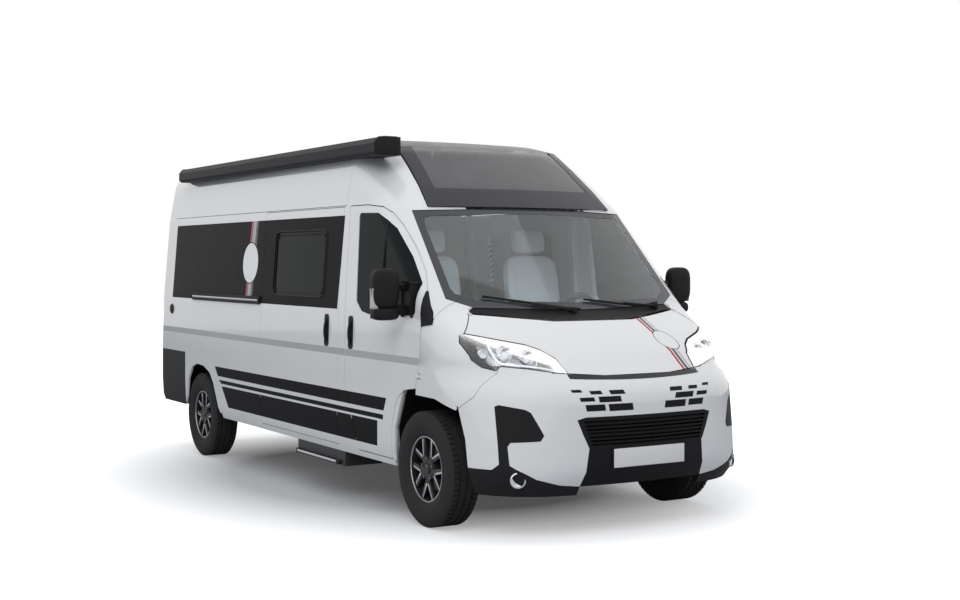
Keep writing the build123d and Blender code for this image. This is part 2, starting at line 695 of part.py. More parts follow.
def make_wheels():
    """Tyres, rims with hub and brake disc, and the knuckles."""
    half = TYRE_WIDTH / 2
    lip = RIM_WIDTH / 2
    seat = RIM_RADIUS + SEAT_GAP
    profile = Polyline(
        (seat, -lip), (seat + 16, -lip - 8), (285, -half), (335, 4 - half),
        (352, 26 - half), (TYRE_RADIUS, 44 - half), (TYRE_RADIUS, half - 44),
        (352, half - 26), (335, half - 4), (285, half), (seat + 16, lip + 8),
        (seat, lip), close=True,
    )
    tyre = revolve(Plane.XY * make_face(profile), Axis.Y)
    barrel = ring(RIM_RADIUS, 192, -lip, lip, 0, 0)
    hub = ring(HUB_RADIUS, STUB_RADIUS + SEAT_GAP, -18, 55, 0, 0)
    hub += ring(HUB_RADIUS, 0, 50, 60, 0, 0)
    hub += ring(DISC_RADIUS, STUB_RADIUS + 8, -18, 4, 0, 0)
    wheel = barrel + hub
    arm = [(-14, 50), (-30, 196), (-52, 196), (-24, 40), (24, 40), (52, 196),
           (30, 196), (14, 50)]
    for i in range(SPOKES):
        spoke = extrude(
            Plane(origin=(0, 50, 0), x_dir=(1, 0, 0), z_dir=(0, 1, 0))
            * make_face(Polyline(*arm, close=True)), amount=24, dir=(0, 1, 0))
        wheel += Rot(0, i * 360 / SPOKES, 0) * spoke
    rim = largest(wheel)
    for end, x, z in (("front", FRONT_AXLE_X, FRONT_HUB_Z),
                      ("rear", REAR_AXLE_X, REAR_HUB_Z)):
        for name, side in (("right", -1), ("left", 1)):
            track = FRONT_TRACK if end == "front" else REAR_TRACK
            place = Pos(x, side * track / 2, z)
            for node, piece in (("tyre", tyre), ("rim", rim)):
                turned = piece if side > 0 else mirror(piece, about=Plane.XZ)
                PIECES[f"{node}_{end}_{name}"] = place * turned
    for name, side in (("right", -1), ("left", 1)):
        z = FRONT_HUB_Z
        post = Pos(FRONT_AXLE_X, side * KINGPIN_Y, z) * Cylinder(22, 2 * KINGPIN_HALF)
        post += ring(38, 0, side * (KINGPIN_Y - 12), side * (KINGPIN_Y + 26),
                     FRONT_AXLE_X, z)
        stub_end = side * (FRONT_TRACK / 2 + 49)
        post += ring(STUB_RADIUS, 0, side * KINGPIN_Y, stub_end, FRONT_AXLE_X, z)
        caliper = box(FRONT_AXLE_X + 152, FRONT_AXLE_X + 178, side * 860,
                      side * 918, z - 38, z + 38)
        bracket = box(FRONT_AXLE_X, FRONT_AXLE_X + 178, side * 860, side * 876,
                      z - 24, z + 24)
        PIECES["knuckle_" + name] = largest(post + caliper + bracket)


def make_chassis():
    """Floor with firewall, liners, rails, subframe, rear axle and engine."""
    x, thick, top = FIREWALL
    inner = body_form(WALL + SEAT_GAP, REAR_WALL + SEAT_GAP)
    floor = inner & box(-3200, x, -1200, 1200, FLOOR_TOP - FLOOR_THICK, FLOOR_TOP)
    floor += inner & box(x, x + thick, -1200, 1200, FLOOR_TOP - FLOOR_THICK, top)
    liners = []
    for outline, slot in ((FRONT_LINER, AXLE_SLOTS[0]), (REAR_LINER, AXLE_SLOTS[1])):
        for side in (-1, 1):
            big = side_prism(outline, side * 1200, side * LINER_INNER_Y)
            small = side_prism(
                outline, side * 1300, side * (LINER_INNER_Y + LINER), -LINER
            )
            liner = (big - small) & inner & above_sill
            liner -= box(slot[0], slot[1], side * 500, side * 640, 200, slot[2])
            liners.append(largest(liner))
            floor -= side_prism(
                outline, side * 1300, side * (LINER_INNER_Y - SEAT_GAP), SEAT_GAP
            )
    PIECES["floor"] = largest(floor)
    PIECES["arch_liners"] = Compound(liners)
    ribs = inner - body_form(WALL + 30, REAR_WALL + 30)
    frame = None
    for hoop in HOOPS:
        bow = ribs & box(hoop, hoop + 50, -1200, 1200, FLOOR_TOP, 2700)
        frame = bow if frame is None else frame + bow
    frame += ribs & box(660, 720, -1200, 1200, 2060, 2700)
    frame += ribs & box(HOOPS[0], 856, -1200, -780, 2060, 2110)
    frame += ribs & box(HOOPS[0], 856, 780, 1200, 2060, 2110)
    PIECES["body_frame"] = largest(frame)
    rails = None
    under = FLOOR_TOP - FLOOR_THICK
    for side in (-1, 1):
        rail = box(-2900, 2468, side * 470, side * 545, under - 120, under)
        rails = rail if rails is None else rails + rail
    for cross in (-2700, -1300, -200, 700, 1500):
        rails += box(cross, cross + 80, -545, 545, under - 90, under)
    rails += box(-150, 650, 60, 440, under - 300, under - 60)
    rails += box(-1250, -300, -440, -40, under - 240, under - 60)
    for x in JACK_PADS:
        for side in (-1, 1):
            middle = side * 507.5
            rails += box(x - 50, x + 50, middle - 30, middle + 30, under - 132, under - 119)
    PIECES["underbody"] = largest(rails)
    z0, z1 = BEAM
    beam = ribs & box(2560, 3200, -1200, 1200, z0, z1)
    for side in (-1, 1):
        beam += box(2560, 2860, side * 470, side * 545, z0, z1)
        beam += box(2480, 2560, side * 540, side * 584, z0, 1080)
        beam += box(2470, 2600, side * 470, side * 584, z0, z1)
    lamp_layer = layer(120 + SEAT_GAP, 150, NOSE)
    beam += lamp_layer & box(2480, 3200, -1200, 1200, 1046, 1080)
    beam -= [
        side_prism(FRONT_LINER, side * 1300, side * (LINER_INNER_Y - 1), 1)
        for side in (-1, 1)
    ]
    PIECES["front_frame"] = largest(beam)
    subframe = box(1850, 2300, -460, 460, 300, 360)
    subframe += box(1880, 1960, -545, 545, 300, under - 120)
    subframe += box(2200, 2280, -545, 545, 300, under - 120)
    for side in (-1, 1):
        z = FRONT_HUB_Z - KINGPIN_HALF
        plate = make_face(Polyline(
            (1880, side * 440), (1880, side * 560), (2031, side * 700),
            (2031, side * 870), (2071, side * 870), (2071, side * 700),
            (2260, side * 560), (2260, side * 440), close=True))
        subframe += extrude(
            Plane.XY.offset(z - 24) * plate, amount=23.7, dir=(0, 0, 1)
        )
        subframe += box(1880, 1960, side * 440, side * 545, z - 24, 330)
        subframe += box(2200, 2280, side * 440, side * 545, z - 24, 330)
        top = FRONT_HUB_Z + KINGPIN_HALF
        subframe += box(2031, 2071, side * 560, side * 870, top + 0.3, top + 22)
        strut = rod((2051, side * 680, top + 10), (2051, side * 680, 800), 24)
        subframe += strut
        subframe += box(1900, 2200, side * 470, side * 640, under - 100, under - 60)
    PIECES["front_subframe"] = largest(subframe)
    axle = rod((REAR_AXLE_X, -840, REAR_HUB_Z), (REAR_AXLE_X, 840, REAR_HUB_Z), 38)
    for side in (-1, 1):
        axle += ring(STUB_RADIUS, 0, side * 800, side * (REAR_TRACK / 2 + 49), REAR_AXLE_X,
                     REAR_HUB_Z)
        spring = box(REAR_AXLE_X - 650, REAR_AXLE_X + 650, side * 475, side * 540,
                     REAR_HUB_Z + 36, REAR_HUB_Z + 60)
        axle += spring
        for end in (-640, 640):
            axle += box(REAR_AXLE_X + end - 14, REAR_AXLE_X + end + 14, side * 480,
                        side * 535, REAR_HUB_Z + 36, under - 120)
    PIECES["rear_axle"] = largest(axle)
    PIECES["engine"] = box(2330, 2720, -330, 330, 420, 960)
    PIECES["engine"] += box(2330, 2460, -469.7, 469.7, 450, 520)


def make_fittings():
    """Awning, slide rail, entry step and the furniture inside."""
    x0, x1, y, z0, z1 = AWNING
    case = front_prism(
        [(-y, z0 + 20), (-y, z1 - 45), (-y + 28, z1 - 8), (-y + 70, z1),
         (-760, z1), (-760, z0), (-y + 16, z0)], x0, x1)
    case -= body_form(-SEAT_GAP)
    PIECES["awning"] = largest(case)
    x0, x1, z0, z1 = RAIL
    rail = box(x0, x1, -1016, -900, z0, z1) - body_form(-SEAT_GAP)
    PIECES["slide_rail"] = largest(rail)
    x0, x1, y, z, thick, depth = STEP
    tread = box(x0, x1, -y, depth - y, z, z + thick)
    tread = fillet(tread.edges().filter_by(Axis.Z), 20)
    PIECES["entry_step"] = tread
    case = box(x0 - 18, x1 + 60, -985, -700, z - 10, BODY_BOTTOM - SEAT_GAP)
    case -= box(x0 - 6, x1 + 6, -1000, -y + depth + 26, z - 20, z + thick + SEAT_GAP)
    case += box(x0 - 18, x1 + 60, -760, -700, z + thick, FLOOR_TOP - FLOOR_THICK)
    PIECES["step_case"] = largest(case)
    top = FLOOR_TOP
    seats, bases = [], []
    for side in (-1, 1):
        base = box(1180, 1560, side * 230, side * 600, top, top + 290)
        bases.append(base)
        seat = box(1080, 1640, side * 170, side * 660, top + 290.3, top + 430)
        back = Pos(1100, side * 415, top + 760) * Rot(0, -10, 0) * Box(110, 460, 700)
        head = Pos(1030, side * 415, top + 1190) * Rot(0, -10, 0) * Box(90, 270, 170)
        seats.append(largest(seat + back + head))
    PIECES["front_seats"] = Compound(seats)
    dash = side_prism([(2119.7, 1330), (1960, 1320), (1760, 1230), (1740, 1120),
                       (1860, 920), (2119.7, 900)], -850, 850)
    dash &= body_form(WALL + 8)
    column = rod((1770, 415, 1170), (1600, 415, 1265), 26)
    wheel_plane = Plane(origin=(1600, 415, 1265), z_dir=(-170, 0, 95))
    wheel = extrude(wheel_plane * (Circle(190) - Circle(165)), amount=24, both=True)
    wheel += extrude(wheel_plane * Rectangle(36, 350), amount=12, both=True)
    wheel += extrude(wheel_plane * Circle(60), amount=30, both=True)
    PIECES["dashboard"] = largest(dash + column + wheel)
    arches = [
        side_prism(outline, side * 1300, side * (LINER_INNER_Y - 4), 8)
        for outline in (FRONT_LINER, REAR_LINER) for side in (-1, 1)
    ]
    inside = body_form(WALL + 32, REAR_WALL + 32)
    kitchen = box(-1440, -680, -1000, -480, top, top + 900)
    bath = box(-1440, -700, 330, 1000, top, 2240)
    beds = [box(-2900, -1530, side * 1000, side * 330, top, top + 520) for side in (-1, 1)]
    bench = box(-560, 250, 420, 1000, top, top + 430)
    blocks = [(block & inside) - arches for block in [kitchen, bath, *beds, bench]]
    blocks += bases
    PIECES["furniture"] = Compound([largest(block) for block in blocks])
    mattress = box(-2860, -1530, -900, 900, top + 520.3, top + 670)
    pad = box(-560, 240, 430, 900, top + 430.3, top + 540)
    PIECES["cushions"] = Compound([mattress, pad])


def place(shape):
    """The piece turned by the rake, so that the tyres stand on Z = 0."""
    return Rot(0, RAKE, 0) * shape


make_sides()
make_doors()
make_front()
make_rear()
make_roof()
make_wheels()
make_chassis()
make_fittings()
os.makedirs("parts", exist_ok=True)
for name, shape in PIECES.items():
    export_step(place(shape), f"parts/{name}.step")
    print(name, len(shape.solids()), round(shape.volume / 1e6, 1))
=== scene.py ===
"""A camper van with a high roof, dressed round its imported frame."""

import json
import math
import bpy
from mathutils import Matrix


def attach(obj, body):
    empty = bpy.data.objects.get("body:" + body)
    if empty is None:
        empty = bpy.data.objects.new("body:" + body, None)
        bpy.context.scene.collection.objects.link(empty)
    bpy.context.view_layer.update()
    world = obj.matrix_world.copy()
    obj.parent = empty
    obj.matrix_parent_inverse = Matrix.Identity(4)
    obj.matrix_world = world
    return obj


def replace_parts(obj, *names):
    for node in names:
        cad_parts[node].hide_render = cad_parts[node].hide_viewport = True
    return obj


bl_info = {
    "name": "Camper van",
    "version": (1, 0, 0),
    "blender": (4, 5, 0),
    "location": "View3D > Sidebar > Van",
    "description": "Dresses the packed frame of a camper van",
    "category": "Object",
}

import bmesh
import bpy
import numpy as np
from bpy.props import FloatProperty, FloatVectorProperty, IntProperty
from mathutils import Matrix, Vector

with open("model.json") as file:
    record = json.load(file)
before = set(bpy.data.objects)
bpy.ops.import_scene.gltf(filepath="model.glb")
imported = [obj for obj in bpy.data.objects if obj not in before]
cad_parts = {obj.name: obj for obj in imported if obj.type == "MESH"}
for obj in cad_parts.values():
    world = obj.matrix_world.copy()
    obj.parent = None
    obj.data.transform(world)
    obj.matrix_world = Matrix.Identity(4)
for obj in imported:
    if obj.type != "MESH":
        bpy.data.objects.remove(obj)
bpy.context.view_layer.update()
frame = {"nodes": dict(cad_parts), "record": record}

# Rake of the body over the ground, and the wheels
RAKE = math.radians(0.771)
FRONT_AXLE = 2.051
REAR_AXLE = -1.984
HUB_HEIGHT = 0.357
FRONT_WHEEL_Y = 0.905
REAR_WHEEL_Y = 0.880

# Sections of the body from above, in metres: height, rear end, half width,
# nose, radius of the front corner, radius of the nose
BODY = np.array([
    (0.270, -2.940, 0.950, 2.895, 0.520, 2.860),
    (0.350, -2.962, 0.985, 2.940, 0.500, 2.900),
    (0.440, -2.985, 1.008, 2.985, 0.590, 2.950),
    (0.600, -2.990, 1.014, 2.992, 0.640, 2.990),
    (0.870, -2.986, 1.013, 2.986, 0.690, 2.960),
    (0.935, -2.984, 1.012, 2.947, 0.700, 2.940),
    (1.000, -2.982, 1.010, 2.865, 0.715, 2.900),
    (1.100, -2.980, 1.007, 2.750, 0.520, 2.750),
    (1.200, -2.977, 1.004, 2.600, 0.375, 2.560),
    (1.345, -2.972, 1.001, 2.345, 0.200, 2.330),
    (2.000, -2.945, 0.952, 1.690, 0.330, 2.800),
    (2.150, -2.938, 0.929, 1.519, 0.420, 2.800),
    (2.304, -2.930, 0.900, 1.314, 0.470, 2.800),
    (2.440, -2.922, 0.872, 1.130, 0.540, 2.800),
    (2.495, -2.919, 0.863, 0.870, 0.570, 2.800),
    (2.580, -2.914, 0.850, 0.060, 0.570, 2.800),
])
REAR_CORNER = 0.070
ROOF_SEAM = 2.304
ROOF_CROWN = 2.534
ROOF_BEND = (0.600, 2.195, 0.315, 0.620)

# Outlines seen from the side (X, Z), in the level body's metres
FOIL = [(-2.672, 1.328), (0.812, 1.328), (0.846, 1.968), (-2.654, 1.968)]
RACING = [
    ((-0.905, -0.875), "red"),
    ((-0.868, -0.800), "pale"),
    ((-0.793, -0.763), "grey"),
]
ROUNDEL = (-0.838, 1.640, 0.165)
LOWER_BANDS = [
    [(-1.491, 0.699), (1.530, 0.696), (1.567, 0.780), (-1.564, 0.776)],
    [(-1.411, 0.641), (1.521, 0.638), (1.522, 0.669), (-1.472, 0.670)],
    [(-1.264, 0.456), (1.431, 0.457), (1.443, 0.624), (-1.402, 0.621)],
]
BONNET_BANDS = [((0.372, 0.392), "red"), ((0.402, 0.425), "grey"), ((0.437, 0.452), "pale")]
BONNET_ROUNDEL = (2.62, 0.415, 0.085)

# The waist fold (from and to in Z) with its lean, the slots over the grille
# (from and to in Y, Z, height) and the clear part of the windscreen (Y, Z)
WAIST = (1.017, 1.061)
WAIST_LEAN = 0.80
SLOTS = (
    (0.113, 0.282, 0.808, 0.042), (0.303, 0.432, 0.810, 0.038), (0.196, 0.348, 0.857, 0.034),
    (0.374, 0.468, 0.860, 0.024), (0.164, 0.266, 0.895, 0.024), (0.317, 0.396, 0.897, 0.020),
    (0.444, 0.507, 0.908, 0.016),
)
SCREEN = [
    (-0.735, 1.950), (0, 1.971), (0.735, 1.950), (0.768, 1.938), (0.784, 1.900), (0.818, 1.490),
    (0.806, 1.458), (0.700, 1.413), (0, 1.396), (-0.700, 1.413), (-0.806, 1.458),
    (-0.818, 1.490), (-0.784, 1.900), (-0.768, 1.938),
]
PALETTE = {
    "white": (0.80, 0.81, 0.82),
    "foil": (0.014, 0.014, 0.015),
    "red": (0.50, 0.012, 0.018),
    "pale": (0.42, 0.43, 0.44),
    "grey": (0.055, 0.057, 0.06),
}


class VanSizes(bpy.types.PropertyGroup):
    paint: FloatVectorProperty(
        name="Paint", description="Colour of the body's paint", subtype="COLOR",
        size=3, default=PALETTE["white"], min=0, max=1)
    foil: FloatVectorProperty(
        name="Foil", description="Colour of the side foil", subtype="COLOR",
        size=3, default=PALETTE["foil"], min=0, max=1)
    tyre_radius: FloatProperty(
        name="Tyre radius", description="Outer radius of a tyre",
        default=0.357, unit="LENGTH")
    tyre_width: FloatProperty(
        name="Tyre width", description="Width over a tyre's sidewalls",
        default=0.219, unit="LENGTH")
    tread_blocks: IntProperty(
        name="Tread blocks", description="Shoulder blocks round one tyre",
        default=64, min=20, max=120)
    step_ribs: IntProperty(
        name="Step ribs", description="Ribs on the entry step's tread",
        default=11, min=4, max=30)


def settings():
    """The sizes and colours in the scene."""
    return bpy.context.scene.van_sizes


def ground(point):
    """A point of the level body, moved by the rake into the shared frame."""
    x, y, z = point
    c, s = math.cos(RAKE), math.sin(RAKE)
    return Vector((x * c + z * s, y, -x * s + z * c))


def level(points):
    """Points of the shared frame, as an array in the level body's axes."""
    c, s = math.cos(RAKE), math.sin(RAKE)
    x, y, z = points[:, 0], points[:, 1], points[:, 2]
    return np.stack([x * c - z * s, y, x * s + z * c], axis=1)


def depth(points):
    """How far points lie outside the body's skin, negative inside it."""
    x, y, z = points[:, 0], np.abs(points[:, 1]), points[:, 2]
    rear, half, nose, corner, bend = (
        np.interp(z, BODY[:, 0], BODY[:, i]) for i in range(1, 6)
    )
    centre = nose - bend
    reach = np.sqrt((bend - corner) ** 2 - (half - corner) ** 2)
    turn = np.arctan2(half - corner, reach)
    sx, sy = centre + reach, half - corner
    angle = np.arctan2(y - sy, x - sx)
    front = np.where(
        angle > turn, np.hypot(x - sx, y - sy) - corner, np.hypot(x - centre, y) - bend
    )
    side = y - half
    cx, cy = rear + REAR_CORNER, half - REAR_CORNER
    bent = np.hypot(x - cx, y - cy) - REAR_CORNER
    back = np.where(y > cy, bent, rear - x)
    plan = np.where(x < cx, np.where(y > cy, back, rear - x), np.where(x < sx, side, front))
    by, bz, radius, flat = ROOF_BEND
    edge_z = bz + math.sqrt(radius**2 - (flat - by) ** 2)
    rise = ROOF_CROWN - edge_z
    crown = (flat**2 + rise**2) / (2 * rise)
    top = np.where(
        y > flat, np.hypot(y - by, z - bz) - radius,
        np.hypot(y, z - (ROOF_CROWN - crown)) - crown,
    )
    top = np.where(z > ROOF_SEAM, top, -9.0)
    return np.maximum(plan, top)


def outward(points):
    """The smooth outward direction of the body's skin at each point."""
    grads = []
    for axis, step in ((0, 0.008), (1, 0.008), (2, 0.045)):
        move = np.zeros(3)
        move[axis] = step
        grads.append((depth(points + move) - depth(points - move)) / (2 * step))
    normal = np.stack(grads, axis=1)
    length = np.linalg.norm(normal, axis=1, keepdims=True)
    return normal / np.maximum(length, 1e-9)


def skin_y(x, z):
    """Half width of the skin at a place on the side."""
    low, high = 0.3, 1.1
    for _ in range(40):
        middle = (low + high) / 2
        if depth(np.array([[x, middle, z]]))[0] < 0:
            low = middle
        else:
            high = middle
    return low


def skin_x(y, z, high=3.1):
    """How far ahead the skin lies at a place on the front."""
    low = 0.0
    for _ in range(40):
        middle = (low + high) / 2
        if depth(np.array([[middle, y, z]]))[0] < 0:
            low = middle
        else:
            high = middle
    return low


# Materials

def add_node(tree, kind, values=None, **options):
    """A node with its options and the values of its inputs."""
    node = tree.nodes.new(kind)
    for key, value in options.items():
        setattr(node, key, value)
    for key, value in (values or {}).items():
        node.inputs[key].default_value = value
    return node


def join(tree, *rows):
    """Links, each given as node, output, node, input."""
    for source, output, target, goal in rows:
        tree.links.new(source.outputs[output], target.inputs[goal])


def add_sockets(tree, way, rows):
    """Sockets of a node group, with their first values."""
    for label, kind, *value in rows:
        socket = tree.interface.new_socket(label, in_out=way, socket_type=f"NodeSocket{kind}")
        if value:
            socket.default_value = value[0]


def wear_group():
    """A group that varies a colour and roughness, and gives a fine bump."""
    name = "surface_wear"
    if name in bpy.data.node_groups:
        return bpy.data.node_groups[name]
    group = bpy.data.node_groups.new(name, "ShaderNodeTree")
    add_sockets(group, "INPUT", (
        ("Colour", "Color", (0.8, 0.8, 0.8, 1)), ("Roughness", "Float", 0.4),
        ("Scale", "Float", 30.0), ("Variation", "Float", 0.05), ("Bump", "Float", 0.05)))
    add_sockets(group, "OUTPUT", (
        ("Colour", "Color"), ("Roughness", "Float"), ("Normal", "Vector")))
    given = add_node(group, "NodeGroupInput")
    result = add_node(group, "NodeGroupOutput")
    place = add_node(group, "ShaderNodeTexCoord")
    noise = add_node(group, "ShaderNodeTexNoise", {"Detail": 4})
    spread = add_node(group, "ShaderNodeMath", {1: 2.0, 2: -1.0}, operation="MULTIPLY_ADD")
    amount = add_node(group, "ShaderNodeMath", operation="MULTIPLY")
    shade = add_node(group, "ShaderNodeHueSaturation")
    value = add_node(group, "ShaderNodeMath", {1: 1.0})
    rough = add_node(group, "ShaderNodeMath", use_clamp=True)
    bump = add_node(group, "ShaderNodeBump", {"Distance": 0.001})
    join(group, (place, "Object", noise, "Vector"), (given, "Scale", noise, "Scale"),
         (noise, "Fac", spread, 0), (spread, 0, amount, 0), (given, "Variation", amount, 1),
         (amount, 0, value, 0), (value, 0, shade, "Value"), (given, "Colour", shade, "Color"),
         (given, "Roughness", rough, 0), (amount, 0, rough, 1), (noise, "Fac", bump, "Height"),
         (given, "Bump", bump, "Strength"), (shade, "Color", result, "Colour"),
         (rough, 0, result, "Roughness"), (bump, "Normal", result, "Normal"))
    return group


def finish(name, colour, roughness, scale=30.0, variation=0.05, bump=0.05, metallic=0.0,
           coat=0.0, sheen=0.0, transmission=0.0, glow=None, specular=0.5, ior=1.45):
    """A material whose colour, roughness and bump come from the wear group."""
    if name in bpy.data.materials:
        return bpy.data.materials[name]
    material = bpy.data.materials.new(name)
    material.use_nodes = True
    tree = material.node_tree
    shader = tree.nodes["Principled BSDF"]
    wear = add_node(tree, "ShaderNodeGroup", node_tree=wear_group())
    for label, value in (("Colour", (*colour, 1)), ("Roughness", roughness), ("Scale", scale),
                         ("Variation", variation), ("Bump", bump)):
        wear.inputs[label].default_value = value
    join(tree, (wear, "Colour", shader, "Base Color"), (wear, "Roughness", shader, "Roughness"))
    if bump:
        join(tree, (wear, "Normal", shader, "Normal"))
    for label, value in (("Metallic", metallic), ("Coat Weight", coat), ("Coat Roughness", 0.04),
                         ("Sheen Weight", sheen), ("Transmission Weight", transmission),
                         ("IOR", ior), ("Specular IOR Level", specular)):
        shader.inputs[label].default_value = value
    if glow:
        shader.inputs["Emission Color"].default_value = (*glow, 1)
        shader.inputs["Emission Strength"].default_value = 0.4
    return material


def finishes():
    """Every finish on the van, by name."""
    own = settings()
    return {
        "white": finish("body_paint", own.paint, 0.24, 3.0, 0.015, 0.0, coat=0.8),
        "foil": finish("side_foil", own.foil, 0.36, 8.0, 0.05, 0.0, specular=0.03),
        "red": finish("stripe_red", PALETTE["red"], 0.3, 10.0, 0.04, 0.0),
        "pale": finish("stripe_pale", PALETTE["pale"], 0.3, 10.0, 0.04, 0.0),
        "grey": finish("stripe_grey", PALETTE["grey"], 0.3, 10.0, 0.04, 0.0),
        "cap": finish("roof_cap_gloss", (0.018, 0.019, 0.023), 0.30, 6.0, 0.08, 0.0),
        "dome": finish("skylight_dome", (0.06, 0.06, 0.065), 0.16, 5.0, 0.30, 0.0, coat=0.3),
        "frit": finish("glass_border", (0.055, 0.057, 0.066), 0.10, 12.0, 0.03, 0.0),
        "plastic": finish("black_plastic", (0.013, 0.013, 0.014), 0.55, 900.0, 0.10, 0.25,
                          specular=0.22),
        "gloss_black": finish("gloss_black", (0.010, 0.010, 0.011), 0.16, 20.0, 0.05, 0.0,
                              specular=0.4),
        "dark_glass": finish("privacy_glass", (0.012, 0.014, 0.015), 0.05, 4.0, 0.02, 0.0,
                             specular=0.05),
        "clear_glass": finish("windscreen_glass", (0.88, 0.95, 0.98), 0.0, 4.0, 0.0, 0.0,
                              coat=1.0, transmission=1.0, ior=1.02),
        "lens": finish("lamp_cover", (0.96, 0.97, 0.98), 0.0, 4.0, 0.0, 0.0,
                       transmission=1.0, specular=0.12),
        "bowl": finish("lamp_bowl", (0.42, 0.43, 0.45), 0.30, 60.0, 0.10, 0.05, metallic=0.7),
        "chrome": finish("reflector_chrome", (0.80, 0.81, 0.83), 0.12, 40.0, 0.04, 0.0,
                         metallic=1.0),
        "lamp_white": finish("light_guide", (0.85, 0.87, 0.90), 0.25, 20.0, 0.02, 0.0,
                             glow=(0.8, 0.85, 0.9)),
        "amber": finish("indicator_cover", (0.60, 0.60, 0.58), 0.12, 20.0, 0.04, 0.0, coat=0.5),
        "red_lens": finish("tail_red", (0.33, 0.008, 0.01), 0.10, 12.0, 0.06, 0.0, coat=0.6),
        "tyre": finish("tyre_rubber", (0.032, 0.032, 0.033), 0.78, 260.0, 0.14, 0.35,
                       specular=0.18),
        "alloy_black": finish("rim_black", (0.022, 0.022, 0.023), 0.26, 30.0, 0.06, 0.0),
        "alloy_bright": finish("rim_machined", (0.62, 0.63, 0.65), 0.25, 300.0, 0.06, 0.05,
                               metallic=1.0),
        "steel": finish("chassis_paint", (0.03, 0.03, 0.032), 0.5, 80.0, 0.16, 0.12),
        "cast": finish("cast_metal", (0.16, 0.16, 0.165), 0.5, 160.0, 0.15, 0.3, metallic=0.9),
        "awning": finish("awning_lacquer", (0.032, 0.033, 0.035), 0.45, 120.0, 0.05, 0.04,
                         specular=0.08),
        "aluminium": finish("step_aluminium", (0.55, 0.56, 0.58), 0.34, 200.0, 0.06, 0.08,
                            metallic=1.0),
        "ply": finish("floor_board", (0.30, 0.25, 0.20), 0.5, 14.0, 0.20, 0.08),
        "cabinet": finish("cabinet_laminate", (0.62, 0.56, 0.47), 0.42, 9.0, 0.12, 0.04),
        "seat": finish("seat_fabric", (0.54, 0.56, 0.58), 0.85, 900.0, 0.16, 0.5, sheen=0.3),
        "dash": finish("dash_grain", (0.055, 0.055, 0.06), 0.55, 700.0, 0.12, 0.25),
        "headliner": finish("headliner", (0.74, 0.76, 0.80), 0.9, 500.0, 0.05, 0.15),
        "plate": finish("plate_white", (0.78, 0.78, 0.78), 0.32, 20.0, 0.02, 0.0),
        "hatch": finish("vent_dome", (0.55, 0.56, 0.57), 0.28, 30.0, 0.05, 0.02),
        "mirror": finish("mirror_silver", (0.85, 0.86, 0.88), 0.03, 10.0, 0.01, 0.0, metallic=1.0),
        # Black of the grille, also on the box and plates that paint the shade behind the slots
        "mesh": finish("grille_black_and_shade_plates", (0.007, 0.007, 0.008), 0.5, 300.0, 0.10, 0.1, specular=0.2),
    }


# Pieces

# How far round an outline the skin is cut, how thick it counts, the angle in
# degrees from which an edge stays sharp, and the axes of the three views
REGION_MARGIN = 0.01
FACING = 0.3
SKIN_DEPTH = 0.02
SHARP_EDGE = 24
SIDE_VIEW = (0, 2)
TOP_VIEW = (0, 1)
FRONT_VIEW = (1, 2)


def add_piece(name, mesh, body, slots, smooth=None):
    """An object for a mesh, with its finishes, riding on a body."""
    piece = bpy.data.objects.new(name, mesh)
    bpy.context.scene.collection.objects.link(piece)
    for material in slots:
        mesh.materials.append(material)
    if smooth is not None:
        mesh.shade_smooth()
        bm = opened(mesh)
        for edge in bm.edges:
            if len(edge.link_faces) == 2:
                edge.smooth = edge.calc_face_angle(0) < math.radians(smooth)
        put_into(mesh, bm)
    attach(piece, body)
    return piece


def opened(mesh, weld=0.0):
    """The mesh as a bmesh, with points closer than a distance welded."""
    bm = bmesh.new()
    bm.from_mesh(mesh)
    if weld:
        bmesh.ops.remove_doubles(bm, verts=bm.verts, dist=weld)
    return bm


def put_into(mesh, bm):
    """Puts what the bmesh holds into a mesh and frees the bmesh."""
    bm.to_mesh(mesh)
    bm.free()
    return mesh


def mesh_of(bm, name):
    """A new mesh with what the bmesh holds."""
    return put_into(bpy.data.meshes.new(name), bm)


def mesh_from(points, faces):
    """A mesh from points and faces, its faces turned outward."""
    mesh = bpy.data.meshes.new("form")
    mesh.from_pydata([tuple(p) for p in points], [], faces)
    bm = opened(mesh, 1e-6)
    bmesh.ops.recalc_face_normals(bm, faces=bm.faces)
    return put_into(mesh, bm)


def merge(meshes, name):
    """Several meshes as one, material numbers kept."""
    bm = bmesh.new()
    for mesh in meshes:
        bm.from_mesh(mesh)
    return mesh_of(bm, name)


def add_black(name, meshes, body="body", look="plastic", smooth=40):
    """A black piece made of several meshes."""
    return add_piece(name, merge(meshes, name), body, [finishes()[look]], smooth)


def bevel(bm, offset, segments):
    """Rounds every edge."""
    bmesh.ops.bevel(bm, geom=bm.edges[:], offset=offset, segments=segments, profile=0.5,
                    affect="EDGES")


def bevelled(mesh, offset, segments):
    """The mesh with every edge rounded."""
    bm = opened(mesh)
    bevel(bm, offset, segments)
    return put_into(mesh, bm)


def between(low, high, share):
    """A place in a box, from shares of -1 to 1 of its half sizes."""
    return Vector([(low[i] + high[i]) / 2 + share[i] * (high[i] - low[i]) / 2 for i in range(3)])


def rounded_box(low, high, radius):
    """A box in the level body's axes with rounded edges."""
    bm = bmesh.new()
    bmesh.ops.create_cube(bm, size=2)
    for vert in bm.verts:
        vert.co = between(low, high, vert.co)
    bevel(bm, radius, 3)
    for vert in bm.verts:
        vert.co = ground(vert.co)
    bmesh.ops.recalc_face_normals(bm, faces=bm.faces)
    return mesh_of(bm, "box")


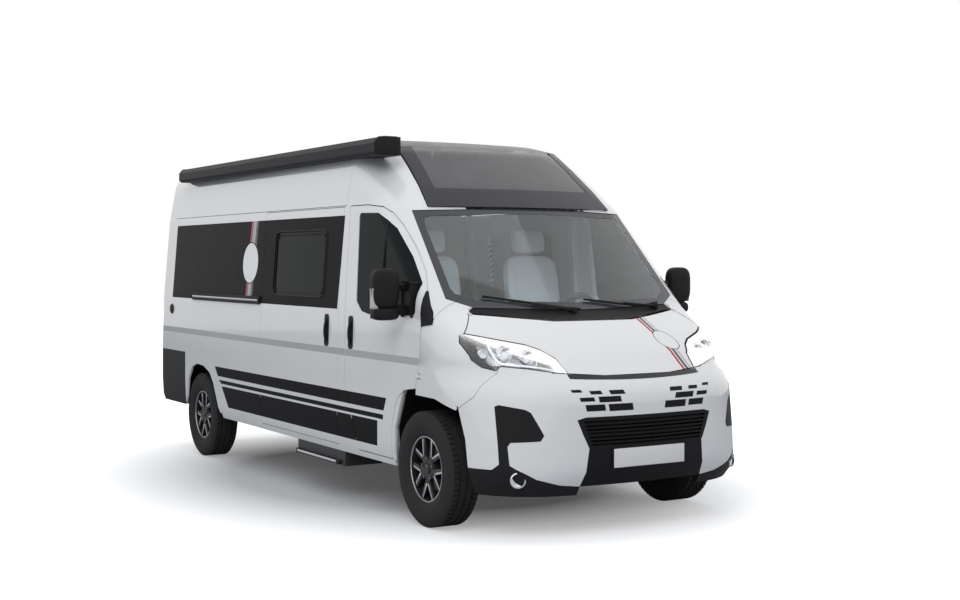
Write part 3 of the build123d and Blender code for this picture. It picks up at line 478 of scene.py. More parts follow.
def tube(points, radius, closed=False):
    """A round bar along points of the level body."""
    curve = bpy.data.curves.new("tube", "CURVE")
    curve.dimensions = "3D"
    spline = curve.splines.new("NURBS")
    spline.points.add(len(points) - 1)
    for point, target in zip(points, spline.points):
        target.co = (*ground(point), 1)
    spline.use_cyclic_u = closed
    spline.order_u = 3
    spline.use_endpoint_u = not closed
    curve.bevel_depth = radius
    curve.bevel_resolution = 3
    curve.use_fill_caps = True
    curve.resolution_u = 6
    return plain_mesh(bpy.data.objects.new("tube", curve))


def plain_mesh(holder):
    """The mesh that an object comes to, the object itself taken away."""
    bpy.context.scene.collection.objects.link(holder)
    bpy.context.view_layer.update()
    graph = bpy.context.evaluated_depsgraph_get()
    mesh = bpy.data.meshes.new_from_object(holder.evaluated_get(graph))
    bpy.data.objects.remove(holder)
    return mesh


def revolved(profile, centre, steps=96, closed=True):
    """A profile of (distance across, radius) turned about an axis along Y."""
    points, faces = [], []
    count = len(profile)
    for i in range(steps):
        angle = 2 * math.pi * i / steps
        for across, radius in profile:
            points.append((
                centre[0] + radius * math.cos(angle), centre[1] + across,
                centre[2] + radius * math.sin(angle),
            ))
    for i in range(steps):
        j = (i + 1) % steps
        for k in range(count if closed else count - 1):
            n = (k + 1) % count
            faces.append((i * count + k, i * count + n, j * count + n, j * count + k))
    return mesh_from(points, faces)


def slab(lower, upper):
    """A closed form between two rings of as many points."""
    count = len(lower)
    faces = [tuple(range(count)), tuple(range(2 * count - 1, count - 1, -1))]
    faces += [(k, (k + 1) % count, count + (k + 1) % count, count + k) for k in range(count)]
    return mesh_from([*lower, *upper], faces)


def prism(outline, y0, y1, centre, chamfer):
    """A flat outline (X, Z) given thickness along Y, about a centre."""
    rings = [[(centre[0] + x, centre[1] + y, centre[2] + z) for x, z in outline] for y in (y0, y1)]
    return bevelled(slab(*rings), chamfer, 2)


def body_of_node(node):
    """The body that a node of the frame rides on."""
    for body, nodes in frame["record"]["behaviour"]["bodies"].items():
        if node in nodes:
            return body
    return "body"


def paint_regions(bm, regions):
    """Cuts the skin along outlines and gives the faces inside another finish."""
    for (a, b), outline, side, number in regions:
        edges_round = list(zip(outline, outline[1:] + outline[:1]))
        area = sum(here[0] * after[1] - after[0] * here[1] for here, after in edges_round)
        sign = 1 if area > 0 else -1
        low = [min(p[i] for p in outline) - REGION_MARGIN for i in range(2)]
        high = [max(p[i] for p in outline) + REGION_MARGIN for i in range(2)]
        third = 3 - a - b

        def near(face):
            spots = [to_level(v.co) for v in face.verts]
            inside = all(
                max(s[axis] for s in spots) > low[i] and min(s[axis] for s in spots) < high[i]
                for i, axis in enumerate((a, b))
            )
            return inside and face.calc_center_median()[third] * side > FACING

        for here, after in edges_round:
            point, normal = [0, 0, 0], [0, 0, 0]
            point[a], point[b] = here
            normal[a], normal[b] = (after[1] - here[1]) * sign, (here[0] - after[0]) * sign
            faces = [f for f in bm.faces if near(f)]
            edges = {e for f in faces for e in f.edges}
            verts = {v for f in faces for v in f.verts}
            bmesh.ops.bisect_plane(bm, geom=[*verts, *edges, *faces], plane_co=ground(point),
                                   plane_no=ground(normal), dist=1e-5)
        for face in bm.faces:
            if not near(face):
                continue
            centre = to_level(face.calc_center_median())
            inside = all(
                ((after[0] - here[0]) * (centre[b] - here[1])
                 - (after[1] - here[1]) * (centre[a] - here[0])) * sign >= 0
                for here, after in edges_round
            )
            if inside and depth(np.array([centre]))[0] > -SKIN_DEPTH:
                face.material_index = number


def to_level(point):
    """One point of the shared frame in the level body's axes."""
    c, s = math.cos(RAKE), math.sin(RAKE)
    return (point[0] * c - point[2] * s, point[1], point[0] * s + point[2] * c)


def follow_skin(mesh):
    """Shades a panel as smoothly as the body's skin that it is cut from."""
    count = len(mesh.loops)
    at = np.empty(len(mesh.vertices) * 3)
    mesh.vertices.foreach_get("co", at)
    spots = level(at.reshape(-1, 3))
    directions = outward(spots)
    fold = (spots[:, 2] > WAIST[0]) & (spots[:, 2] < WAIST[1]) & (spots[:, 0] < 2.0)
    fold &= np.abs(directions[:, 1]) > 0.9
    bent = directions.copy()
    bent[fold, 2] -= WAIST_LEAN
    bent /= np.linalg.norm(bent, axis=1, keepdims=True)
    c, s = math.cos(RAKE), math.sin(RAKE)
    to_shared = np.array([(c, 0, -s), (0, 1, 0), (s, 0, c)])
    directions, bent = directions @ to_shared, bent @ to_shared
    index = np.empty(count, dtype=np.int32)
    mesh.loops.foreach_get("vertex_index", index)
    flat = np.empty(len(mesh.polygons) * 3)
    mesh.polygons.foreach_get("normal", flat)
    flat = flat.reshape(-1, 3)
    totals = np.empty(len(mesh.polygons), dtype=np.int32)
    mesh.polygons.foreach_get("loop_total", totals)
    own = np.repeat(flat, totals, axis=0)
    wanted = directions[index]
    match = np.sum(own * wanted, axis=1)
    usable = np.abs(match) > math.cos(math.radians(SHARP_EDGE))
    result = np.where(usable[:, None], bent[index] * np.sign(match)[:, None], own)
    mesh.shade_smooth()
    mesh.normals_split_custom_set(result.tolist())


def dressed(node, slots, regions=()):
    """A smooth-shaded stand-in for one panel of the frame."""
    bm = opened(frame["nodes"][node].data, 1e-5)
    for face in bm.faces:
        face.material_index = 0
    if node.startswith(("side_", "door_front", "sliding")):
        for edge in (WAIST[0] - 0.003, WAIST[0] + 0.001, WAIST[1] - 0.001, WAIST[1] + 0.003):
            bmesh.ops.bisect_plane(bm, geom=bm.verts[:] + bm.edges[:] + bm.faces[:], dist=1e-5,
                                   plane_co=ground((0, 0, edge)), plane_no=ground((0, 0, 1)))
    paint_regions(bm, regions)
    mesh = mesh_of(bm, f"panel_{node}")
    follow_skin(mesh)
    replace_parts(add_piece(mesh.name, mesh, body_of_node(node), slots), node)


def circle(x, z, radius, count=28):
    """Points round a circle."""
    return [
        (x + radius * math.cos(2 * math.pi * i / count),
         z + radius * math.sin(2 * math.pi * i / count)) for i in range(count)
    ]


# The finish numbers of the painted skin, and how far stripes lean forward
TONES = {"white": 0, "foil": 1, "red": 2, "pale": 3, "grey": 4}
STRIPE_LEAN = 0.045
SIDES = (("right", -1), ("left", 1))


def side_regions(side):
    """Foil, stripes and bands on one side, as outlines and finish numbers."""
    bottom, top = FOIL[0][1], FOIL[2][1]
    regions = [(SIDE_VIEW, FOIL, side, TONES["foil"])]
    for (x0, x1), tone in RACING:
        outline = [(x0, bottom), (x1, bottom), (x1 + STRIPE_LEAN, top), (x0 + STRIPE_LEAN, top)]
        regions.append((SIDE_VIEW, outline, side, TONES[tone]))
    return regions + roundel_regions(SIDE_VIEW, ROUNDEL, 0.008, side) + band_regions(side)


def roundel_regions(view, place, edge, side=1):
    """A bare white disc with a dark edge."""
    a, b, radius = place
    return [(view, circle(a, b, radius), side, TONES["foil"]),
            (view, circle(a, b, radius - edge), side, TONES["white"])]


def band_regions(side):
    """The bands low on one side."""
    return [(SIDE_VIEW, band, side, TONES["foil"]) for band in LOWER_BANDS]


def bonnet_regions():
    """Stripes and the bare roundel on the bonnet, seen from above."""
    rear, front = 2.30, 2.90
    regions = []
    for (y0, y1), tone in BONNET_BANDS:
        outline = [(rear, y0 - STRIPE_LEAN), (front, y0), (front, y1), (rear, y1 - STRIPE_LEAN)]
        regions.append((TOP_VIEW, outline, 1, TONES[tone]))
    return regions + roundel_regions(TOP_VIEW, BONNET_ROUNDEL, 0.005)


class VAN_OT_panels(bpy.types.Operator):
    """Painted panels, foil and stripes"""

    bl_idname = "van.panels"
    bl_label = "Panels"

    def execute(self, context):
        looks = finishes()
        skin = [looks[key] for key in TONES]
        for name, side in SIDES:
            dressed(f"side_{name}", skin, side_regions(side))
            dressed(f"door_front_{name}", skin, band_regions(side))
            dressed(f"rear_door_{name}", skin)
        dressed("sliding_door", skin, side_regions(-1))
        dressed("bonnet", skin, bonnet_regions())
        for node in ("upper_panels", "front_wings", "bumper_front", "roof"):
            dressed(node, skin)
        dressed("roof_cap", [looks["cap"]])
        for node in ("bumper_trim", "rear_bumper", "cowl"):
            dressed(node, [looks["plastic"]])
        dressed("tail_lamps", [looks["red_lens"]])
        return {"FINISHED"}


# Windows in the sides as (side, (x0, x1, z0, z1), name), the inset and radius
# of the rings round them, and the upright bar of the door windows (X, Z)
SIDE_WINDOWS = ((-1, (-0.354, 0.584, 1.395, 1.878), "sliding"),
                (1, (-0.354, 0.584, 1.395, 1.878), "dinette"),
                (1, (-2.420, -1.560, 1.440, 1.830), "bed"))
WINDOW_RINGS = ((0.004, 0.007), (0.030, 0.0035))
WINDOW_CORNER = 0.070
QUARTER_BAR = ((1.470, 1.915), (1.462, 1.70), (1.455, 1.50), (1.452, 1.325))
SCREEN_BORDER = [(-1, 1.2), (1, 1.2), (1, 2.2), (-1, 2.2)]


class VAN_OT_glass(bpy.types.Operator):
    """Panes and their rubber frames"""

    bl_idname = "van.glass"
    bl_label = "Glass"

    def execute(self, context):
        looks = finishes()
        dressed("windscreen", [looks["clear_glass"], looks["frit"]],
                [(FRONT_VIEW, SCREEN_BORDER, 1, 1), (FRONT_VIEW, SCREEN, 1, 0)])
        dressed("skylight", [looks["dome"]])
        for node in ("side_windows", "door_glass_right", "door_glass_left", "rear_glass_right",
                     "rear_glass_left"):
            dressed(node, [looks["dark_glass"]])
        for side, (x0, x1, z0, z1), name in SIDE_WINDOWS:
            rings = []
            for inset, radius in WINDOW_RINGS:
                outline = rounded_outline(x0 + inset, x1 - inset, z0 + inset, z1 - inset,
                                          WINDOW_CORNER - inset / 2)
                points = [(x, side * (skin_y(x, z) - 0.001), z) for x, z in outline]
                rings.append(tube(points, radius, closed=True))
            add_black(f"window_frame_{name}", rings)
        for name, side in SIDES:
            points = [(x, side * (skin_y(x, z) - 0.003), z) for x, z in QUARTER_BAR]
            add_black(f"quarter_bar_{name}", [tube(points, 0.011)], f"door_{name}")
        return {"FINISHED"}


def along(here, after, share):
    """A place on the way from one place to the next."""
    return tuple(a + (b - a) * share for a, b in zip(here, after))


def rounded_outline(x0, x1, z0, z1, radius, steps=5):
    """A rectangle with round corners, its straight sides divided."""
    points = []
    corners = [(x1 - radius, z0 + radius, -90), (x1 - radius, z1 - radius, 0),
               (x0 + radius, z1 - radius, 90), (x0 + radius, z0 + radius, 180)]
    for cx, cz, start in corners:
        for i in range(steps + 1):
            angle = math.radians(start + 90 * i / steps)
            points.append((cx + radius * math.cos(angle), cz + radius * math.sin(angle)))
    filled = []
    for here, after in zip(points, points[1:] + points[:1]):
        parts = max(1, int(math.dist(here, after) / 0.12))
        filled += [along(here, after, i / parts) for i in range(parts)]
    return filled


def side_strip(rows, side, below):
    """Flat links between pairs of places on the front, a little under the skin."""
    return [plate_on_front([(side * y, z) for y, z in (a, b, c, d)], -below, below + 0.003)
            for (a, b), (d, c) in zip(rows, rows[1:])]


# Places on the front (Y, Z) inside the headlamps, in metres: the reflectors
# with their radii, light guides under the cover, and rows of the shrouds
REFLECTORS = ((0.640, 1.088, 0.038), (0.752, 1.106, 0.042), (0.858, 1.110, 0.026))
GUIDES = (
    (0.018, 0.0085, ((0.812, 1.166), (0.818, 1.135), (0.817, 1.097), (0.806, 1.066),
                     (0.780, 1.052), (0.733, 1.047), (0.683, 1.043), (0.635, 1.037),
                     (0.586, 1.031), (0.545, 1.026), (0.508, 1.021))),
    (0.030, 0.003, ((0.560, 1.118), (0.600, 1.060), (0.618, 1.045))),
)
SHROUDS = (
    (((0.922, 1.212), (0.868, 1.196)), ((0.936, 1.180), (0.876, 1.165)),
     ((0.928, 1.130), (0.886, 1.120)), ((0.915, 1.080), (0.882, 1.080)),
     ((0.895, 1.050), (0.868, 1.062)), ((0.870, 1.034), (0.845, 1.045)),
     ((0.831, 1.022), (0.815, 1.040))),
    (((0.800, 1.044), (0.800, 1.052)), ((0.680, 1.032), (0.680, 1.040)),
     ((0.600, 1.020), (0.600, 1.028)), ((0.519, 1.006), (0.519, 1.014)),
     ((0.474, 1.004), (0.480, 1.014))),
    (((0.896, 1.218), (0.896, 1.208)), ((0.765, 1.187), (0.765, 1.178)),
     ((0.615, 1.155), (0.618, 1.145)), ((0.550, 1.126), (0.556, 1.116)),
     ((0.497, 1.078), (0.506, 1.072)), ((0.472, 1.003), (0.482, 1.010))),
)
SHROUD_BELOW = 0.005
COVER_THICKNESS = 0.003
BOWL_DEPTH = 0.050
FOG_LAMP = (0.795, 0.402)
FOG_TURN = 28
FOG_PROFILE = ((0, 0.046), (0.016, 0.046), (0.018, 0.038), (0.004, 0.036), (0.001, 0.0001))


def facing_ahead(mesh, place, degrees=0):
    """The turned form, moved to a place of the level body and faced forward."""
    turn = Matrix.Rotation(math.radians(degrees - 90), 4, "Z")
    mesh.transform(Matrix.Translation(ground(place)) @ turn)
    return mesh


class VAN_OT_lamps(bpy.types.Operator):
    """Headlamps with their bowls, lenses and light guides"""

    bl_idname = "van.lamps"
    bl_label = "Lamps"

    def execute(self, context):
        looks = finishes()
        self.shells(looks)
        chrome, guides, lenses, shroud, fogs = [], [], [], [], []
        for side in (-1, 1):
            for y, z, radius in REFLECTORS:
                place = (skin_x(y, z) - 0.060, side * y, z)
                profile = [(0.0, radius * 1.25), (0.030, radius * 1.12), (0.034, radius),
                           (0.004, radius * 0.8), (0.0, 0.0001)]
                cup = revolved(profile, (0, 0, 0), 40, closed=False)
                chrome.append(facing_ahead(cup, place))
                arc = [math.radians(d) for d in range(0, 91, 15)]
                dome = [(0.004 + radius * 0.7 * math.cos(a), radius * 0.78 * math.sin(a))
                        for a in arc]
                glass = revolved(dome, (0, 0, 0), 32, closed=False)
                lenses.append(facing_ahead(glass, place))
            for below, radius, line in GUIDES:
                points = [(skin_x(y, z) - below, side * y, z) for y, z in line]
                guides.append(tube(points, radius))
            for rows in SHROUDS:
                shroud += side_strip(rows, side, SHROUD_BELOW)
            y, z = FOG_LAMP
            rim = revolved(FOG_PROFILE, (0, 0, 0), 40, closed=False)
            fogs.append(facing_ahead(rim, (skin_x(y, z) - 0.012, side * y, z), side * FOG_TURN))
        add_black("lamp_shrouds", shroud, look="gloss_black", smooth=30)
        for meshes, name, look in (
            (chrome, "lamp_reflectors", "chrome"), (lenses, "lamp_lenses", "lamp_white"),
            (guides, "lamp_guides", "lamp_white"), (fogs, "fog_lamps", "chrome"),
        ):
            add_piece(name, merge(meshes, name), "body", [looks[look]], 40)
        return {"FINISHED"}

    def shells(self, looks):
        """Clear covers, dark walls and the floor of the bowls, cut from the solids."""
        bm = opened(frame["nodes"]["headlamps"].data, 1e-5)
        at = np.array([v.co for v in bm.verts])
        outer = depth(level(at)) > -0.003
        cover = bm.copy()
        cover.verts.ensure_lookup_table()
        away = [f for f in cover.faces if not all(outer[v.index] for v in f.verts)]
        bmesh.ops.delete(cover, geom=away, context="FACES")
        ways = outward(level(np.array([v.co for v in cover.verts])))
        inner = cover.copy()
        bmesh.ops.solidify(cover, geom=cover.faces[:], thickness=-COVER_THICKNESS)
        mesh = mesh_of(cover, "lamp_covers")
        lens = add_piece("lamp_covers", mesh, "body", [looks["lens"]])
        follow_skin(mesh)
        for vert, way in zip(inner.verts, ways):
            vert.co -= Vector(way) * BOWL_DEPTH
        add_piece("lamp_bowls", mesh_of(inner, "lamp_bowls"), "body", [looks["bowl"]], 30)
        front = [f for f in bm.faces if all(outer[v.index] for v in f.verts)]
        bmesh.ops.delete(bm, geom=front, context="FACES")
        add_black("lamp_walls", [mesh_of(bm, "walls")], look="gloss_black", smooth=30)
        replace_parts(lens, "headlamps")


BLOCK_SHARE = 0.72
WHEELS = (
    ("front_right", FRONT_AXLE, -FRONT_WHEEL_Y),
    ("front_left", FRONT_AXLE, FRONT_WHEEL_Y),
    ("rear_right", REAR_AXLE, -REAR_WHEEL_Y),
    ("rear_left", REAR_AXLE, REAR_WHEEL_Y),
)


def hub_point(x, y):
    """The middle of a wheel in the shared frame."""
    height = (HUB_HEIGHT + x * math.sin(RAKE)) / math.cos(RAKE)
    point = ground((x, 0, height))
    return Vector((point.x, y, HUB_HEIGHT))


def tread_tree():
    """Geometry Nodes that stand tread blocks round a tyre."""
    name = "tread_ring"
    if name in bpy.data.node_groups:
        return bpy.data.node_groups[name]
    tree = bpy.data.node_groups.new(name, "GeometryNodeTree")
    add_sockets(tree, "INPUT", (
        ("Geometry", "Geometry"), ("Blocks", "Int"), ("Radius", "Float"), ("Width", "Float"),
        ("Depth", "Float"), ("Rubber", "Material")))
    add_sockets(tree, "OUTPUT", (("Geometry", "Geometry"),))
    given = add_node(tree, "NodeGroupInput")
    result = add_node(tree, "NodeGroupOutput")
    ring = add_node(tree, "GeometryNodeMeshCircle")
    cube = add_node(tree, "GeometryNodeMeshCube")
    size = add_node(tree, "ShaderNodeCombineXYZ")
    pitch = add_node(tree, "ShaderNodeMath", operation="DIVIDE")
    share = add_node(tree, "ShaderNodeMath", {1: 2 * math.pi * BLOCK_SHARE}, operation="MULTIPLY")
    place = add_node(tree, "GeometryNodeInputPosition")
    turn = add_node(tree, "FunctionNodeAlignRotationToVector", axis="X")
    stand = add_node(tree, "GeometryNodeInstanceOnPoints")
    real = add_node(tree, "GeometryNodeRealizeInstances")
    paint = add_node(tree, "GeometryNodeSetMaterial")
    join(tree, (given, "Blocks", ring, "Vertices"), (given, "Radius", ring, "Radius"),
         (given, "Depth", size, 0), (given, "Width", size, 2), (given, "Radius", pitch, 0),
         (given, "Blocks", pitch, 1), (pitch, 0, share, 0), (share, 0, size, 1),
         (size, 0, cube, "Size"), (place, 0, turn, "Vector"), (ring, "Mesh", stand, "Points"),
         (cube, "Mesh", stand, "Instance"), (turn, "Rotation", stand, "Rotation"),
         (stand, "Instances", real, "Geometry"), (real, "Geometry", paint, "Geometry"),
         (given, "Rubber", paint, "Material"), (paint, "Geometry", result, "Geometry"))
    return tree


def run_tree(tree, values):
    """The plain mesh that a Geometry Nodes tree gives for its inputs."""
    seed = bpy.data.meshes.new("seed")
    seed.from_pydata([(0, 0, 0)], [], [])
    holder = bpy.data.objects.new("seed", seed)
    modifier = holder.modifiers.new("tree", "NODES")
    modifier.node_group = tree
    for item in tree.interface.items_tree:
        if item.in_out == "INPUT" and item.name in values:
            modifier[item.identifier] = values[item.name]
    return plain_mesh(holder)


def spoke(turn):
    """Outlines of one forked spoke: its dark arms and stem, and its bright edges."""
    stem = [(-0.026, 0.045), (0.026, 0.045), (0.030, 0.096), (-0.030, 0.096)]
    dark, bright = [stem], []
    for lean in (-1, 1):
        dark.append([(lean * 0.002, 0.084), (lean * 0.030, 0.080), (lean * 0.086, 0.178),
                     (lean * 0.060, 0.190)])
        bright.append([(lean * 0.001, 0.094), (lean * 0.012, 0.086), (lean * 0.0695, 0.1850),
                       (lean * 0.0580, 0.1900)])
    c, s = math.cos(turn), math.sin(turn)

    def turned(outlines):
        return [[(x * c - z * s, x * s + z * c) for x, z in outline] for outline in outlines]

    return turned(dark), turned(bright)


# Tread rows (place across, width, shift), beads, and the turned rings of a
# rim as (kind, steps, profile of place across and radius), in metres
TREAD_ROWS = ((0.069, 0.034, 0.0), (0.030, 0.018, 0.5), (0.012, 0.013, 0.0))
TREAD_DEPTH = 0.0085
BEADS = ((0.262, 0.1085), (0.312, 0.1070))
RIM_RINGS = (
    ("dark", 96, ((0.084, 0.2035), (0.080, 0.192), (0.030, 0.185), (-0.078, 0.190),
                  (-0.084, 0.2035), (-0.070, 0.203), (0.010, 0.195), (0.070, 0.203))),
    ("dark", 64, ((0.040, 0.034), (0.074, 0.034), (0.077, 0.050), (0.074, 0.066),
                  (0.045, 0.080), (-0.017, 0.074), (-0.017, 0.034))),
    ("metal", 64, ((-0.018, 0.140), (0.004, 0.140), (0.004, 0.060), (-0.018, 0.060))),
    ("bright", 120, ((0.0835, 0.2035), (0.0855, 0.2015), (0.0855, 0.1960), (0.0810, 0.1945))),
    ("dark", 48, ((0.072, 0.0001), (0.080, 0.0001), (0.080, 0.024), (0.077, 0.030),
                  (0.066, 0.030))),
)
RIM_KINDS = (("dark", "alloy_black"), ("bright", "alloy_bright"), ("metal", "cast"))
SPOKES = 5
BOLT_CIRCLE = 0.065


class VAN_OT_wheels(bpy.types.Operator):
    """Tyres with tread, and two-tone alloy rims"""

    bl_idname = "van.wheels"
    bl_label = "Wheels"

    def execute(self, context):
        looks, own = finishes(), settings()
        half, radius = own.tyre_width / 2, own.tyre_radius
        crown = radius - 0.0075
        right = [(0.084, 0.2045), (0.0935, 0.214), (0.1035, 0.240), (0.1085, 0.262),
                 (half, 0.283), (0.1085, 0.305), (0.1045, 0.325), (0.0985, 0.339),
                 (0.088, crown), (0.052, crown), (0.050, crown - 0.006), (0.042, crown - 0.006),
                 (0.040, crown + 0.003), (0.005, crown + 0.005), (0.004, crown - 0.006)]
        profile = [(-a, r) for a, r in right] + right[::-1]
        for place, x, y in WHEELS:
            centre = hub_point(x, y)
            side = 1 if y > 0 else -1
            meshes = [revolved(profile, centre, 120)]
            for across, width, shift in TREAD_ROWS:
                for way in (-1, 1):
                    ring = run_tree(tread_tree(), {
                        "Blocks": own.tread_blocks, "Radius": radius - 0.0050,
                        "Width": width, "Depth": TREAD_DEPTH, "Rubber": looks["tyre"]})
                    lean = Matrix.Rotation(math.radians(90), 4, "X")
                    spin = Matrix.Rotation(shift * way * 2 * math.pi / own.tread_blocks, 4, "Y")
                    move = Matrix.Translation(centre + Vector((0, way * across, 0)))
                    ring.transform(move @ spin @ lean)
                    meshes.append(ring)
            for ring_radius, out in BEADS:
                bead = [(side * (out + rise), ring_radius + step) for rise, step in (
                    (-0.002, -0.004), (0.0010, -0.002), (0.0010, 0.002), (-0.002, 0.004))]
                meshes.append(revolved(bead, centre, 96))
            name = f"tyre_{place}_dressed"
            tyre = add_piece(name, merge(meshes, name), f"wheel_{place}", [looks["tyre"]],
                             42)
            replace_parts(tyre, f"tyre_{place}")
            self.rim(looks, place, centre, side)
        return {"FINISHED"}

    def rim(self, looks, place, centre, side):
        """One rim: barrel, ring, spokes, hub, cap and bolts."""
        parts = {kind: [] for kind, _ in RIM_KINDS}
        for kind, steps, profile in RIM_RINGS:
            flip = [(side * a, r) for a, r in profile]
            parts[kind].append(revolved(flip, centre, steps))
        for i in range(SPOKES):
            turn = 2 * math.pi * i / SPOKES + math.pi
            arms, edges = spoke(turn)
            parts["dark"] += [prism(outline, side * 0.050, side * 0.074, centre, 0.003)
                              for outline in arms]
            parts["bright"] += [prism(outline, side * 0.0735, side * 0.0758, centre, 0.0004)
                                for outline in edges]
            bolt = turn + math.pi / SPOKES
            at = centre + Vector((BOLT_CIRCLE * math.sin(bolt), side * 0.070,
                                  BOLT_CIRCLE * math.cos(bolt)))
            parts["metal"].append(prism(circle(0, 0, 0.0105, 6), 0, side * 0.012, at, 0.001))
        for kind, look in RIM_KINDS:
            name = f"rim_{kind}_{place}"
            piece = add_piece(name, merge(parts[kind], name), f"wheel_{place}", [looks[look]],
                              35)
            if kind == "dark":
                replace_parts(piece, f"rim_{place}")


def shell_form(low, high, power):
    """A closed form between a box and an ellipsoid."""
    bm = bmesh.new()
    bmesh.ops.create_cube(bm, size=2)
    bmesh.ops.subdivide_edges(bm, edges=bm.edges[:], cuts=14, use_grid_fill=True)
    for vert in bm.verts:
        length = sum(abs(c) ** power for c in vert.co) ** (1 / power)
        vert.co = ground(between(low, high, vert.co / length))
    bmesh.ops.recalc_face_normals(bm, faces=bm.faces)
    return mesh_of(bm, "shell_form")


# Boxes of a mirror: from and to in X, outward Y and Z, then the power of a
# shell or the edge radius of a box, in metres
MIRROR_SHELLS = ((1.772, 1.880, 1.066, 1.247, 1.366, 1.612, 3.6),
                 (1.776, 1.868, 1.062, 1.240, 1.290, 1.372, 3.2))
MIRROR_ARMS = ((1.802, 1.842, 0.985, 1.085, 1.482, 1.508, 0.010),
               (1.795, 1.852, 0.985, 1.085, 1.332, 1.374, 0.012),
               (1.790, 1.905, 0.972, 1.010, 1.318, 1.520, 0.012))
MIRROR_STRIP = ((1.822, 1.850, 1.224, 1.2455, 1.372, 1.480, 0.009),)
MIRROR_PANES = ((1.7700, 1.7745, 1.094, 1.222, 1.404, 1.574, 0.002),
                (1.7750, 1.7795, 1.084, 1.228, 1.302, 1.356, 0.002))
DOOR_HANDLE_X = 1.033
SLIDING_HANDLE_X = 0.648
HANDLE_PLATE = (1.064, 1.288, 0.033, 0.0055, 0.026)


class VAN_OT_mirrors(bpy.types.Operator):
    """Mirrors and door handles"""

    bl_idname = "van.mirrors"
    bl_label = "Mirrors and handles"

    def execute(self, context):
        looks = finishes()
        for name, side in SIDES:
            def made(rows, form):
                return [form((x0, side * y0, z0), (x1, side * y1, z1), size)
                        for x0, x1, y0, y1, z0, z1, size in rows]

            body = f"door_{name}"
            housing = made(MIRROR_SHELLS, shell_form) + made(MIRROR_ARMS, rounded_box)
            piece = add_black(f"mirror_housing_{name}", housing, body)
            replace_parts(piece, f"mirror_{name}")
            for label, rows, look, slot in (
                ("indicator", MIRROR_STRIP, "amber", "lamp"),
                ("panes", MIRROR_PANES, "mirror", "alloy"),
            ):
                label = f"mirror_{label}_{name}"
                mesh = merge(made(rows, rounded_box), label)
                add_piece(label, mesh, body, [looks[look]], 40)
            self.handle(name, side, body, DOOR_HANDLE_X)
        self.handle("sliding", -1, "body", SLIDING_HANDLE_X)
        return {"FINISHED"}

    def handle(self, name, side, body, x):
        """One upright pull handle in its dished plate."""
        y0, y1 = skin_y(x, 1.08), skin_y(x, 1.28)
        bottom, top, half, proud, corner = HANDLE_PLATE
        outline = rounded_outline(x - half, x + half, bottom, top, corner, 4)
        plate = plate_on_side(outline, side, -0.002, proud)
        bends = ((y0 - 0.004, 1.090), (y0 + 0.018, 1.115), (y1 + 0.020, 1.235), (y1 - 0.004, 1.262))
        grip = tube([(x + 0.006, side * y, z) for y, z in bends], 0.0105)
        add_black(f"handle_{name}", [plate, grip], body)


def plate_on_side(outline, side, *lifts):
    """A thin plate that follows the side's skin, its outline in X and Z."""
    return slab(*([ground((x, side * (skin_y(x, z) + lift), z)) for x, z in outline]
                  for lift in lifts))


def plate_on_front(outline, proud, sink=0.004):
    """A thin plate that lies on the skin of the front, its outline in Y and Z."""
    return slab(*([ground((skin_x(abs(y), z) + lift, y, z)) for y, z in outline]
                  for lift in (-sink, proud)))


# Places on the front (Y, Z) and on the side (X, Z), in metres
WIPERS = (((-0.10, 1.352), (-0.66, 1.440)), ((0.62, 1.362), (0.02, 1.415)))
TOW_COVER = ((-0.545, 0.488), (-0.466, 0.488), (-0.462, 0.535), (-0.541, 0.535))
SAIL_ROWS = (
    ((1.986, 1.474), (1.994, 1.474)), ((1.992, 1.430), (2.026, 1.434)),
    ((2.000, 1.385), (2.060, 1.390)), ((2.008, 1.335), (2.103, 1.345)),
    ((2.014, 1.290), (2.134, 1.300)), ((2.018, 1.254), (2.140, 1.272)),
)


